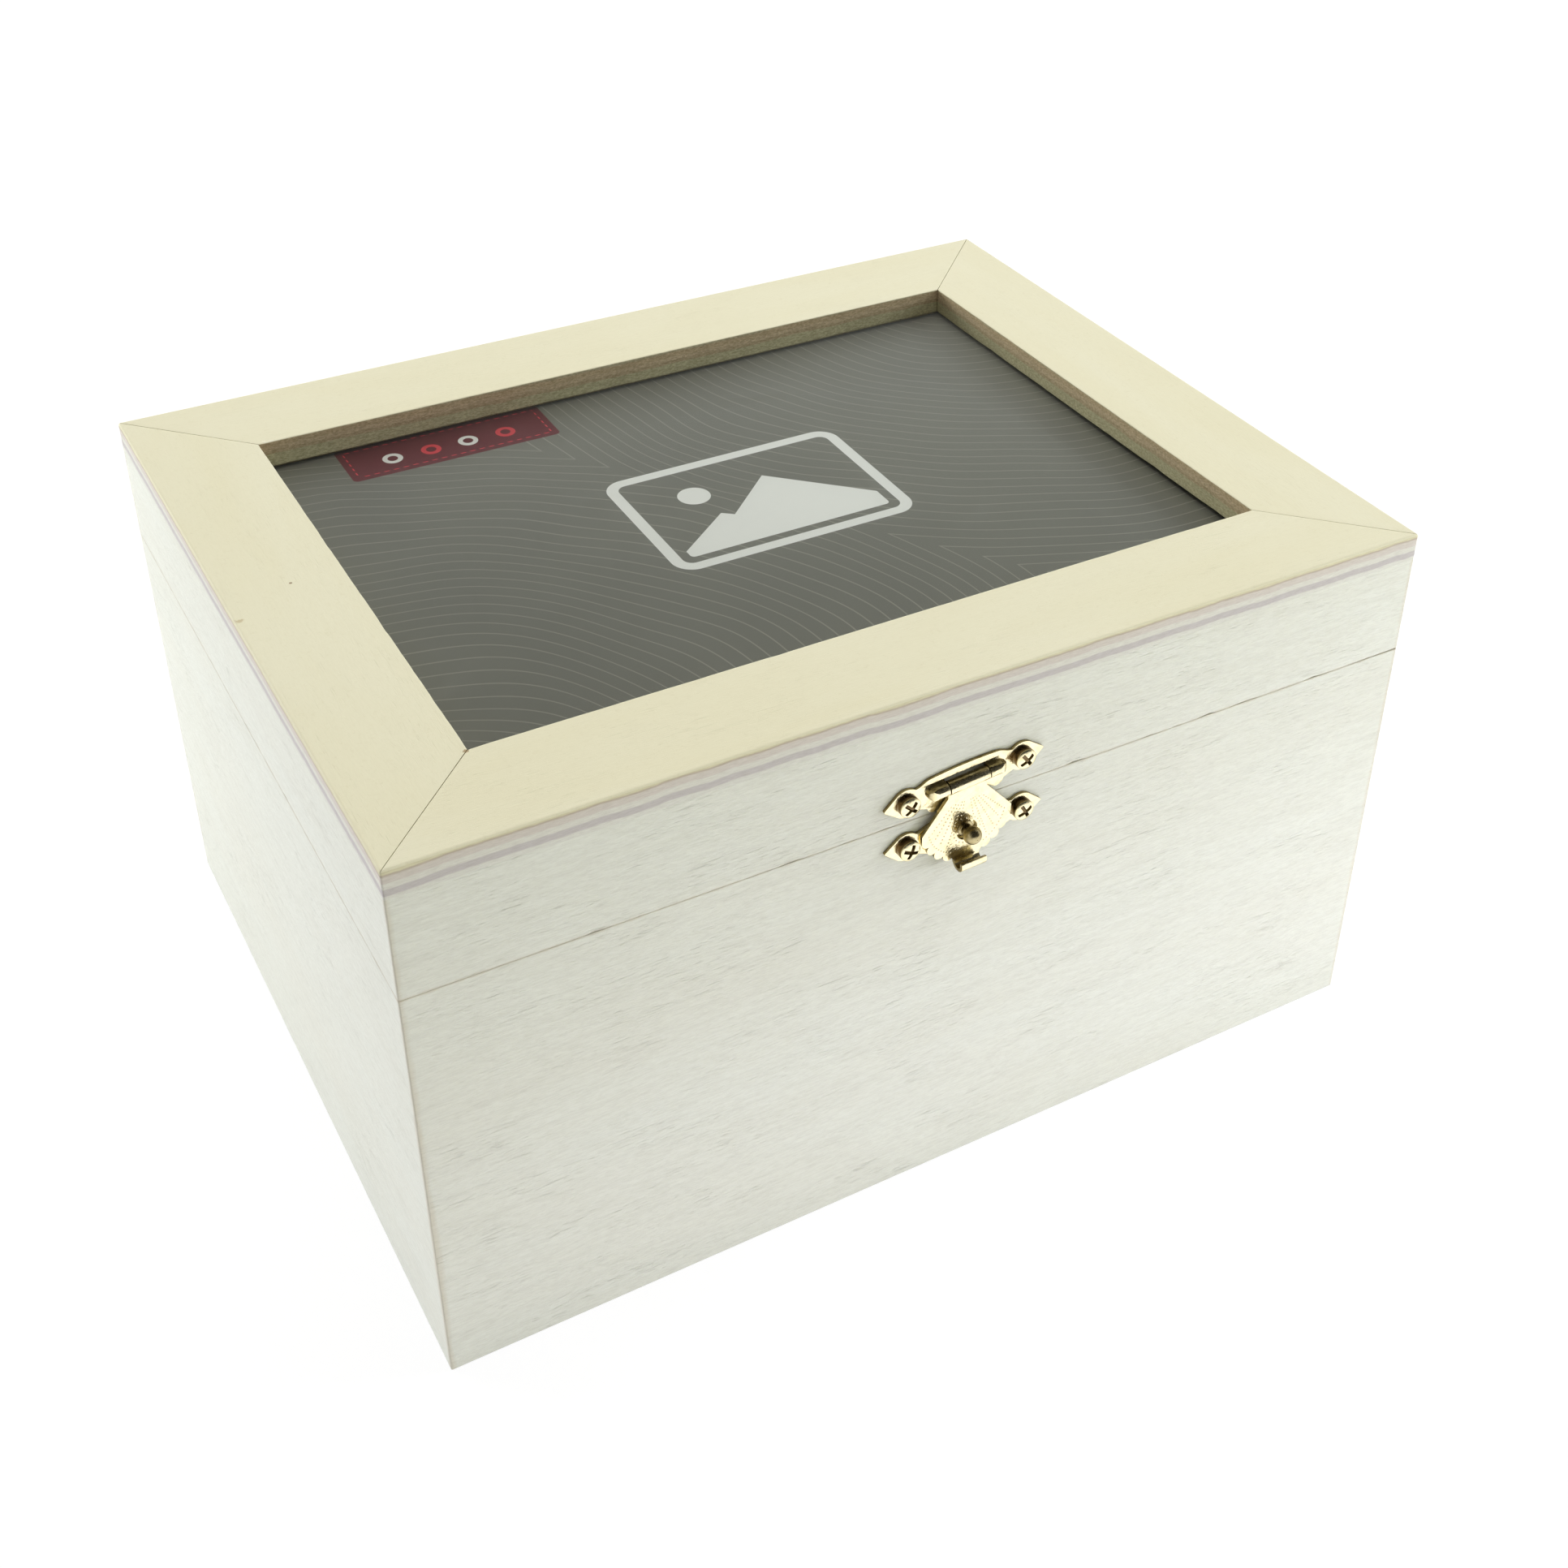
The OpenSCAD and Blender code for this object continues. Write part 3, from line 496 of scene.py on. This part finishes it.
# A pore's colour as a share of the veneer's dark tone
PORE_SHADE = 0.62
CREAM_DARK = srgb(219, 212, 178)
# Veneers: tone, dark tone and warm tone, then the strength of streaks, pores and clouds
WALL_VENEER = (srgb(235, 236, 224), srgb(206, 204, 190), srgb(231, 229, 214), 0.5, 0.14, 0.4)
CREAM_VENEER = (srgb(237, 233, 206), CREAM_DARK, srgb(233, 227, 194), 0.16, 0.05, 0.5)
STRIP_VENEER = (srgb(224, 208, 170), srgb(192, 168, 126), srgb(214, 194, 152), 0.7, 0.6, 0.6)
FLOOR_VENEER = (srgb(222, 213, 190), srgb(190, 176, 148), srgb(212, 200, 174), 0.7, 0.6, 0.6)
# Tan strips of a wall: tone, and in millimetres from the corner or from the parting line's middle,
# where they are full and where they end
CORNER_TAN = srgb(205, 190, 160)
CORNER_STRIP = (0.3, 1.2)
SAWN_TAN = srgb(196, 178, 148)
SAWN_STRIP = (0.12, 0.4)
# Share of its colour that a plywood edge keeps on dark fibres
FIBRE_SHADE = (0.66, 0.63, 0.60)
# The window's layers also show up to this many millimetres outside it
WINDOW_REACH = 2
# Layers of the frame's plywood outside and in the window: depth below the top in millimetres, and tone
EDGE_BANDS = (
    (0.0, srgb(226, 220, 186)),
    (0.8, srgb(196, 182, 162)),
    (1.15, srgb(220, 212, 201)),
    (2.6, srgb(229, 227, 215)),
    (3.8, srgb(206, 200, 196)),
    (5.2, srgb(230, 229, 218)),
)
WINDOW_BANDS = (
    (0.0, srgb(206, 196, 162)),
    (0.4, srgb(214, 195, 158)),
    (1.6, srgb(218, 200, 165)),
    (2.5, srgb(201, 184, 150)),
    (3.3, srgb(204, 200, 162)),
)
# Marks on the frame: place in millimetres, radius and tone
FRAME_MARKS = (
    ((-83.6, 60.6), 2.2, srgb(242, 239, 218)),
    ((-86.5, -62.4), 0.6, srgb(172, 146, 108)),
    ((-96.6, 4.4), 0.3, srgb(150, 128, 96)),
    ((-109.0, -4.2), 0.8, srgb(206, 192, 154)),
)
BRASS_TONE = (0.97, 0.88, 0.58)
BRASS_WARM = (0.95, 0.83, 0.50)
# Dark brown of the painted shade on brass: on sides that face away from the front, in punched dots and on
# the stud
BRASS_SHADE = (0.25, 0.185, 0.065)
# Dark brown of the painted shade in a screw's recess
RECESS_SHADE = (0.11, 0.065, 0.025)
# Depth below a screw's head, in millimetres, where painted shade darkens its recess
RECESS_SHADE_DEPTH = (0.66, 0.76)
# Punched dots of the hasp, in millimetres and degrees: the rays start below the pin and are kept clear
# of the hole, of the line inside the scallops and of the neck
DOT_D = 0.34
DOT_PITCH = 0.78
RAY_FROM = 1.0
RAY_FIRST = 10.0
RAY_STEP = 8.0
RAY_LAST = 42.0
ARC_DROP = 8.3
ARC_R = 8.7
ARC_SPAN = (22, 79)
ARC_CLEAR = 0.7
HOLE_CLEAR = 3.3
HOLE_RING_R = 2.95
HOLE_RING_STEP = 18
NECK_CLEAR = 4.6
SHEET_GLOSS = 0.7
CARD_TONE = srgb(108, 108, 101)
CARD_LIGHT = srgb(114, 114, 106)
CARD_GRIT = (0.25, 0.25, 0.23)
CARD_LINE = srgb(158, 158, 146)
CARD_WHITE = srgb(226, 227, 224)
# Soft edge of printed lines and of the symbol. It and the sizes below are in millimetres
PRINT_SOFT = 0.06
TAB_AT = (-46.0, 56.0)
TAB_HALF = (24.0, 7.5)
TAB_CORNER = 1.2
STITCH_INSET = 1.6
STITCH_W = 0.3
STITCH_STEP = 1.1
TAB_RED = srgb(96, 36, 44)
TAB_DARK = srgb(74, 28, 36)
TAB_CORAL = srgb(204, 64, 74)
# The tab's rings: place across as a share of its half width, and tone
TAB_RINGS = ((-0.55, CARD_WHITE), (-0.18, TAB_CORAL), (0.18, CARD_WHITE), (0.55, TAB_CORAL))
TAB_RING_DROP = 1.0
TAB_RING_R = 1.7
TAB_RING_W = 1.1
RING_CENTRES = ((-96.0, -70.0), (98.0, 74.0))
RING_PITCH = 1.75
RING_WANDER = 3.0
LINE_W = 0.28
SYMBOL_AT = (4.0, 2.0)
SYMBOL_HALF = (27.0, 19.0)
SYMBOL_CORNER = 3.5
SYMBOL_LINE = 2.6
PICTURE_INSET = 3.4
PICTURE_CORNER = 1.0
# The symbol's sun and hills, as shares of its half size: place and radius, and place and slope of each top
SUN = ((-0.45, 0.36), 0.19)
HILLS = (((0.18, 0.42), 0.95), ((-0.38, -0.12), 0.8))

MATERIALS = {
    "wall_x": wall_ply("x"),
    "wall_y": wall_ply("y"),
    "frame_x": frame_ply("x"),
    "frame_y": frame_ply("y"),
    "floor_ply": plain_wood("floor_ply", "x", FLOOR_VENEER),
    "strip_x": plain_wood("strip_wood_x", "x", STRIP_VENEER),
    "strip_y": plain_wood("strip_wood_y", "y", STRIP_VENEER),
    "hardboard": hardboard(),
    "brass": brass("brass"),
    "brass_punched": brass("brass_punched", dots=True),
    # Painted shade all over the catch stud: its brass is mixed far towards dark brown
    "brass_stud_shade": brass("brass_stud_shade", painted_shade=0.75),
    "brass_screw": brass("brass_screw", face=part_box("hasp_plate_screws")[0].y),
    "plated_steel": plated_steel(),
    "clear_sheet": clear_sheet(),
    "card": card(),
}


# Boards with sanded edges

# Turn of each side's board about the upright axis, in degrees
SIDES = {"front": 0, "right": 90, "back": 180, "left": -90}
# Radius of the box's upright corners, and steps of a board's rounded edge
CORNER_R = 0.35 * MM
ARC_STEPS = 3
# Length of a board's facets, and distance of the extra rows from the ends of its flats
FACET = 1.6 * MM
ROW_INSET = 0.3 * MM
# Radii of a board's edges in millimetres: outer low, inner low, inner high, outer high
WALL_RADII = {"base": (0.30, 0.1, 0.1, 0.07), "lid": (0.07, 0.1, 0.1, 0.02)}
RAIL_RADII = (0.02, 0.08, 0.2, 0.42)
# A wall's worn parting edge: its reach up the wall and into its thickness, the size and length of its
# waves and of its chips, and what counts as flat
WALL_REACH = (0.5 * MM, 0.8 * MM)
SAWN_WAVE = (0.30 * MM, 14 * MM)
SAWN_FLAT = 0.03 * MM
CHIP_WAVE = (1.1 * MM, 5 * MM)
CHIP_FLAT = 0.3
# The front's parting edge opens towards its right end: by how much, and from what share of the half
FRONT_LIFT = 0.22 * MM
FRONT_LIFT_FROM = 0.86
# The base's edge moves by this share of the lid's
BASE_SHARE = 0.6
# A rail's torn window edges: their reach into the rail, above its foot and below its top, and the size
# and length of the tears below and above
TORN_REACH = (0.9 * MM, 1.5 * MM, 0.6 * MM)
TORN_LOW = (0.35 * MM, 9 * MM)
TORN_HIGH = (0.30 * MM, 7 * MM)
# Half width and depth of the groove at the mitres
GROOVE = (0.3 * MM, 0.04 * MM)


def grain_axis(name):
    """The axis that a board or strip runs along, from the side in its name."""
    return "x" if "front" in name or "back" in name else "y"


def side_matrix(side):
    """Places a board drawn with its outer face on y = 0 and the inside towards +Y."""
    reach = (BOX_D if grain_axis(side) == "x" else BOX_W) / 2
    return Matrix.Rotation(math.radians(SIDES[side]), 4, "Z") @ Matrix.Translation((0, -reach, 0))


def rounded_profile(width, z0, z1, radii):
    """Points (depth, z) round a board's section, starting at its outer lower corner."""
    corners = ((0, z0, 180), (width, z0, 270), (width, z1, 0), (0, z1, 90))
    points = []
    for (y, z, start), radius in zip(corners, radii):
        r = radius * MM
        cy = y + (r if y == 0 else -r)
        cz = z + (r if z == z0 else -r)
        for i in range(ARC_STEPS + 1):
            a = math.radians(start + 90 * i / ARC_STEPS)
            points.append((cy + r * math.cos(a), cz + r * math.sin(a)))
    dense = []
    for p, q in zip(points, points[1:] + points[:1]):
        dense.append(p)
        gap = math.dist(p, q)
        if gap > 4 * ROW_INSET:
            share = ROW_INSET / gap
            dense += [tuple(a + (b - a) * t for a, b in zip(p, q)) for t in (share, 1 - share)]
    return dense


def stations(half):
    """Places along a board, and how far the rounded upright corner at each end draws them in."""
    r = CORNER_R
    arc = [(half - r + r * math.sin(a), r * (1 - math.cos(a)))
        for a in (math.pi / 12, math.pi / 6, math.pi / 4)]
    count = int(2 * half / FACET)
    middle = [((-1 + 2 * i / count) * (half - r), 0.0) for i in range(count + 1)]
    return [(-x, d) for x, d in reversed(arc)] + middle + arc


def fading(distance, reach):
    """1 at distance 0, falling to 0 at this reach."""
    return max(0.0, 1 - distance / reach)


def new_object(name, data):
    """An object with this data, in the scene."""
    piece = bpy.data.objects.new(name, data)
    bpy.context.scene.collection.objects.link(piece)
    return piece


def shade_smooth(data, sharp):
    """Smooth shading, but for edges that turn by more than this many degrees."""
    for polygon in data.polygons:
        polygon.use_smooth = True
    data.set_sharp_from_angle(angle=math.radians(sharp))


def mitred_board(name, side, width, z0, z1, radii, wear):
    """A board with mitred ends. wear(p, half) gives a small move in board space for a point."""
    half = (BOX_W if grain_axis(side) == "x" else BOX_D) / 2
    profile = rounded_profile(width, z0, z1, radii)
    mesh = bmesh.new()
    rows = []
    for s, lift in stations(half):
        row = []
        for y, z in profile:
            p = Vector((s / half * (half - y), y + lift * fading(y, CORNER_R), z))
            row.append(mesh.verts.new(p + wear(p, half)))
        rows.append(row)
    for a, b in zip(rows, rows[1:]):
        for i in range(len(profile)):
            mesh.faces.new((a[i - 1], a[i], b[i], b[i - 1]))
    mesh.faces.new(rows[0][::-1])
    mesh.faces.new(rows[-1])
    bmesh.ops.recalc_face_normals(mesh, faces=mesh.faces)
    mesh.transform(side_matrix(side))
    data = bpy.data.meshes.new(name)
    mesh.to_mesh(data)
    mesh.free()
    shade_smooth(data, 50)
    return new_object(name, data)


def place_piece(piece, node, material):
    """Gives a piece its material and the body of the node that it stands for, and hides that node."""
    piece.data.materials.clear()
    piece.data.materials.append(MATERIALS[material])
    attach(piece, BODY_OF[node])
    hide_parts(node)


def ragged(p, size, length):
    """Small uneven move for a torn or sawn edge, 0 in the mean: large waves and smaller ones in them."""
    large = noise.noise(Vector((p.x / length, p.y / length, 3.1)))
    small = noise.noise(Vector((p.x / length * 3.7, 1.7, p.y / length * 3.7)))
    return size * (0.7 * large + 0.3 * small)


def wall_wear(lid, side):
    """Wear of a wall: its parting edge is sawn a little uneven, and the lid's has chips."""
    edge = LID_Z - LINE_FILL if lid else BASE_H + LINE_FILL
    phase = SIDES[side] * 0.37

    def wear(p, half):
        share = fading(abs(p.z - edge), WALL_REACH[0]) * fading(p.y, WALL_REACH[1])
        rise = max(0.0, ragged(Vector((p.x + phase, 0.0, 0.0)), *SAWN_WAVE) - SAWN_FLAT)
        if side == "front":
            rise += FRONT_LIFT * fading(1 - p.x / half, 1 - FRONT_LIFT_FROM)
        if not lid:
            return Vector((0, 0, -rise * share * BASE_SHARE))
        size, length = CHIP_WAVE
        chip = size * max(0.0, noise.noise(Vector((p.x / length + phase, 8.3, 2.2))) - CHIP_FLAT)
        return Vector((0, 0, (rise + chip) * share))

    return wear


def rail_wear(side):
    """Wear of a rail: the window's edges are a little torn, and the mitres show a fine groove."""
    phase = SIDES[side] * 0.11

    def wear(p, half):
        inner, low, high = (fading(away, reach)
            for away, reach in zip((RAIL_W - p.y, p.z - RAIL_Z, BOX_H - p.z), TORN_REACH))
        cut = Vector((p.x + phase, 0.4, 0.0))
        torn = (ragged(cut, *TORN_LOW) * low + ragged(cut, *TORN_HIGH) * high) * inner
        reach, depth = GROOVE
        groove = fading(half - p.y - abs(p.x), reach) * high * depth
        return Vector((0, min(0.0, torn), -groove))

    return wear


def walls():
    for side in SIDES:
        for part, z0, z1 in (("base", FOOT_Z, BASE_H + LINE_FILL), ("lid", LID_Z - LINE_FILL, RAIL_Z)):
            node = f"{part}_{side}_wall"
            wear = wall_wear(part == "lid", side)
            piece = mitred_board(node + "_board", side, WALL_T, z0, z1, WALL_RADII[part], wear)
            place_piece(piece, node, "wall_" + grain_axis(side))


def rails():
    for side in SIDES:
        node = f"frame_{side}_rail"
        piece = mitred_board(node + "_board", side, RAIL_W, RAIL_Z, BOX_H, RAIL_RADII, rail_wear(side))
        place_piece(piece, node, "frame_" + grain_axis(side))


# CAD pieces with softened edges

# Width of the softened edges in millimetres, by slot
SOFT_EDGE = {"brass": 0.09, "plated_steel": 0.1, "strip_wood": 0.2, "hardboard": 0.05, "floor_ply": 0.05,
    "card": 0.05, "clear_sheet": 0.05}
# Brass pieces with materials of their own: punched dots with painted shade on the hasp, painted shade all
# over the catch stud, and painted shade in the screws' recesses
BRASS_MATERIALS = {"hasp": "brass_punched", "catch_stud": "brass_stud_shade", "hasp_plate_screws": "brass_screw",
    "catch_plate_screws": "brass_screw"}


def softened(node, width):
    """A copy of a CAD node with its edges rounded by a small bevel."""
    data = NODES[node].data.copy()
    mesh = bmesh.new()
    mesh.from_mesh(data)
    bmesh.ops.remove_doubles(mesh, verts=mesh.verts, dist=1e-6)
    bmesh.ops.dissolve_limit(mesh, angle_limit=math.radians(1.0), verts=mesh.verts, edges=mesh.edges)
    mesh.to_mesh(data)
    mesh.free()
    piece = new_object(node + "_finished", data)
    bevel = piece.modifiers.new("edge", "BEVEL")
    bevel.width = width
    bevel.segments = 2
    bevel.limit_method = "ANGLE"
    bevel.angle_limit = math.radians(30)
    apply_modifiers(piece)
    shade_smooth(piece.data, 40)
    return piece


def apply_modifiers(piece):
    graph = bpy.context.evaluated_depsgraph_get()
    done = bpy.data.meshes.new_from_object(piece.evaluated_get(graph))
    piece.modifiers.clear()
    piece.data = done


def finish_of(node, slot):
    """Name of a small part's material."""
    if slot == "strip_wood":
        return "strip_" + grain_axis(node)
    return BRASS_MATERIALS.get(node, slot)


def small_parts():
    for node, slot in SLOT_OF.items():
        if slot in SOFT_EDGE:
            place_piece(softened(node, SOFT_EDGE[slot] * MM), node, finish_of(node, slot))


# Stage, light and camera

def stage():
    """A white floor that keeps a faint shadow near the box, and a white surround."""
    mat, tree, out = new_material("studio_floor")
    path = tree.nodes.new("ShaderNodeLightPath")
    paint = add(tree, "ShaderNodeBsdfDiffuse", {"Color": (0.86, 0.86, 0.86, 1.0)})
    white = add(tree, "ShaderNodeEmission", {"Color": (1.0, 1.0, 1.0, 1.0), "Strength": FLOOR_GLOW})
    place = tree.nodes.new("ShaderNodeTexCoord").outputs["Object"]
    away = add(tree, "ShaderNodeVectorMath", {0: place}, operation="LENGTH").outputs["Value"]
    seen = times(tree, path.outputs["Is Camera Ray"], ramp(tree, away, *FLOOR_FADE, FLOOR_WHITE, 1.0))
    mix_shaders(tree, out, maths(tree, "MAXIMUM", seen, path.outputs["Is Glossy Ray"]), paint, white)
    bpy.ops.mesh.primitive_plane_add(size=FLOOR_SIZE, location=(0, 0, -FLOOR_DROP))
    floor = bpy.context.object
    floor.name = "studio_floor"
    floor.data.materials.append(mat)

    world = bpy.data.worlds.new("studio")
    bpy.context.scene.world = world
    world.use_nodes = True
    tree = world.node_tree
    tree.nodes.clear()
    out = tree.nodes.new("ShaderNodeOutputWorld")
    path = tree.nodes.new("ShaderNodeLightPath")
    seen = maths(tree, "MAXIMUM", path.outputs["Is Camera Ray"],
        maths(tree, "MAXIMUM", path.outputs["Is Glossy Ray"], path.outputs["Is Transmission Ray"]))
    lit = add(tree, "ShaderNodeBackground", {"Color": (1.0, 0.995, 0.985, 1.0), "Strength": SKY})
    white = add(tree, "ShaderNodeBackground", {"Color": (1.0, 1.0, 1.0, 1.0), "Strength": 1.0})
    mix_shaders(tree, out, seen, lit, white)


def aim(piece, location, target, front="-Z", roll=0.0):
    """Places a piece with its front axis towards the target, turned about that axis by the roll."""
    look = (Vector(target) - Vector(location)).to_track_quat(front, "Y")
    piece.location = location
    piece.rotation_mode = "QUATERNION"
    piece.rotation_quaternion = look @ Euler((0, 0, math.radians(roll))).to_quaternion()


def card_flag(name, location, target, size, tone, glow):
    """A studio card that only reflections see. One with a glow is a lit white card."""
    bpy.ops.mesh.primitive_plane_add(size=1.0)
    flag = bpy.context.object
    flag.name = name
    flag.scale = (*size, 1.0)
    aim(flag, location, target, "Z")
    mat, tree, out = new_material(name)
    if glow:
        paint = add(tree, "ShaderNodeEmission", {"Color": (tone, tone, tone, 1.0), "Strength": glow})
    else:
        paint = add(tree, "ShaderNodeBsdfDiffuse", {"Color": (tone, tone, tone, 1.0)})
    tree.links.new(paint.outputs[0], out.inputs["Surface"])
    flag.data.materials.append(mat)
    flag.visible_camera = False
    flag.visible_diffuse = False
    flag.visible_shadow = False


def soft_light(name, location, target, size, power, tone):
    lamp = bpy.data.lights.new(name, "AREA")
    lamp.shape = "RECTANGLE"
    lamp.size, lamp.size_y = size
    lamp.energy = power
    lamp.color = tone
    piece = new_object(name, lamp)
    aim(piece, location, target)
    piece.visible_glossy = False
    piece.visible_camera = False


def camera():
    data = bpy.data.cameras.new("camera")
    data.sensor_width = 36.0
    data.lens = LENS
    data.shift_x, data.shift_y = SHIFT
    piece = new_object("camera", data)
    aim(piece, CAMERA_AT, CAMERA_AIM, roll=CAMERA_ROLL)
    bpy.context.scene.camera = piece


LENS = 47.32
SHIFT = (-0.05, -0.10)
CAMERA_AT = (-0.1727, -0.3400, 0.3399)
CAMERA_AIM = (0.0409, 0.0194, 0.0625)
CAMERA_ROLL = 1.26
# How much of the floor is plain white to the camera near the box, and where it becomes all of it
FLOOR_WHITE = 0.82
FLOOR_FADE = (0.3, 0.7)
FLOOR_GLOW = 1.08
FLOOR_SIZE = 6.0
# The floor lies this far under the box's foot, so that the two don't share a plane
FLOOR_DROP = 0.02 * MM
SKY = 0.20
# Lamps: name, place, aim, size, power and colour
LAMPS = (
    ("overhead", (0.1, 0.0, 1.3), (0, 0, 0.1), (1.0, 1.0), 7.1, (1.0, 0.955, 0.87)),
    ("back_fill", (0.2, 0.9, 0.9), (0, 0.05, 0.1), (1.1, 0.8), 3.8, (0.93, 0.965, 1.0)),
    ("right_side", (1.0, -0.25, 0.5), (0.1, 0, 0.06), (0.6, 0.6), 6.6, (0.89, 0.95, 1.0)),
    ("left_rear", (-0.6, 0.6, 0.2), (-0.1, 0.08, 0.06), (0.4, 0.3), 4.2, (0.97, 1.0, 1.0)),
    ("front_strip", (0.20, -0.50, 0.02), (0.05, -0.086, 0.03), (0.6, 0.03), 0.29, (0.97, 1.0, 0.08)),
    ("foot_strip", (0.04, -0.20, 0.015), (0.04, -0.086, 0.01), (0.34, 0.02), 0.060, (0.71, 0.69, 1.0)),
    ("left_strip", (-0.50, -0.05, 0.02), (-0.11, 0, 0.03), (0.4, 0.03), 0.36, (0.78, 0.79, 1.0)),
    ("right_strip", (0.45, -0.35, 0.03), (0.11, -0.05, 0.03), (0.3, 0.05), 1.0, (0.75, 0.76, 1.0)),
)
# Cards that reflections see: name, place, aim, size, tone and glow
CARDS = (
    ("dark_card_front", (0.1, -1.25, 0.95), (0, 0, 0.1), (4.0, 2.1), 0.10, 0.0),
    ("dark_card_top", (0.0, -0.35, 1.7), (0, -0.1, 0.1), (2.6, 1.6), 0.10, 0.0),
    ("bright_card_floor", (0.28, -0.38, 0.002), (0.28, -0.38, 1.0), (0.8, 0.55), 1.0, 1.45),
)

camera()
stage()
for row in LAMPS:
    soft_light(*row)
for row in CARDS:
    card_flag(*row)
walls()
rails()
small_parts()

bpy.context.scene.view_settings.view_transform = "Standard"
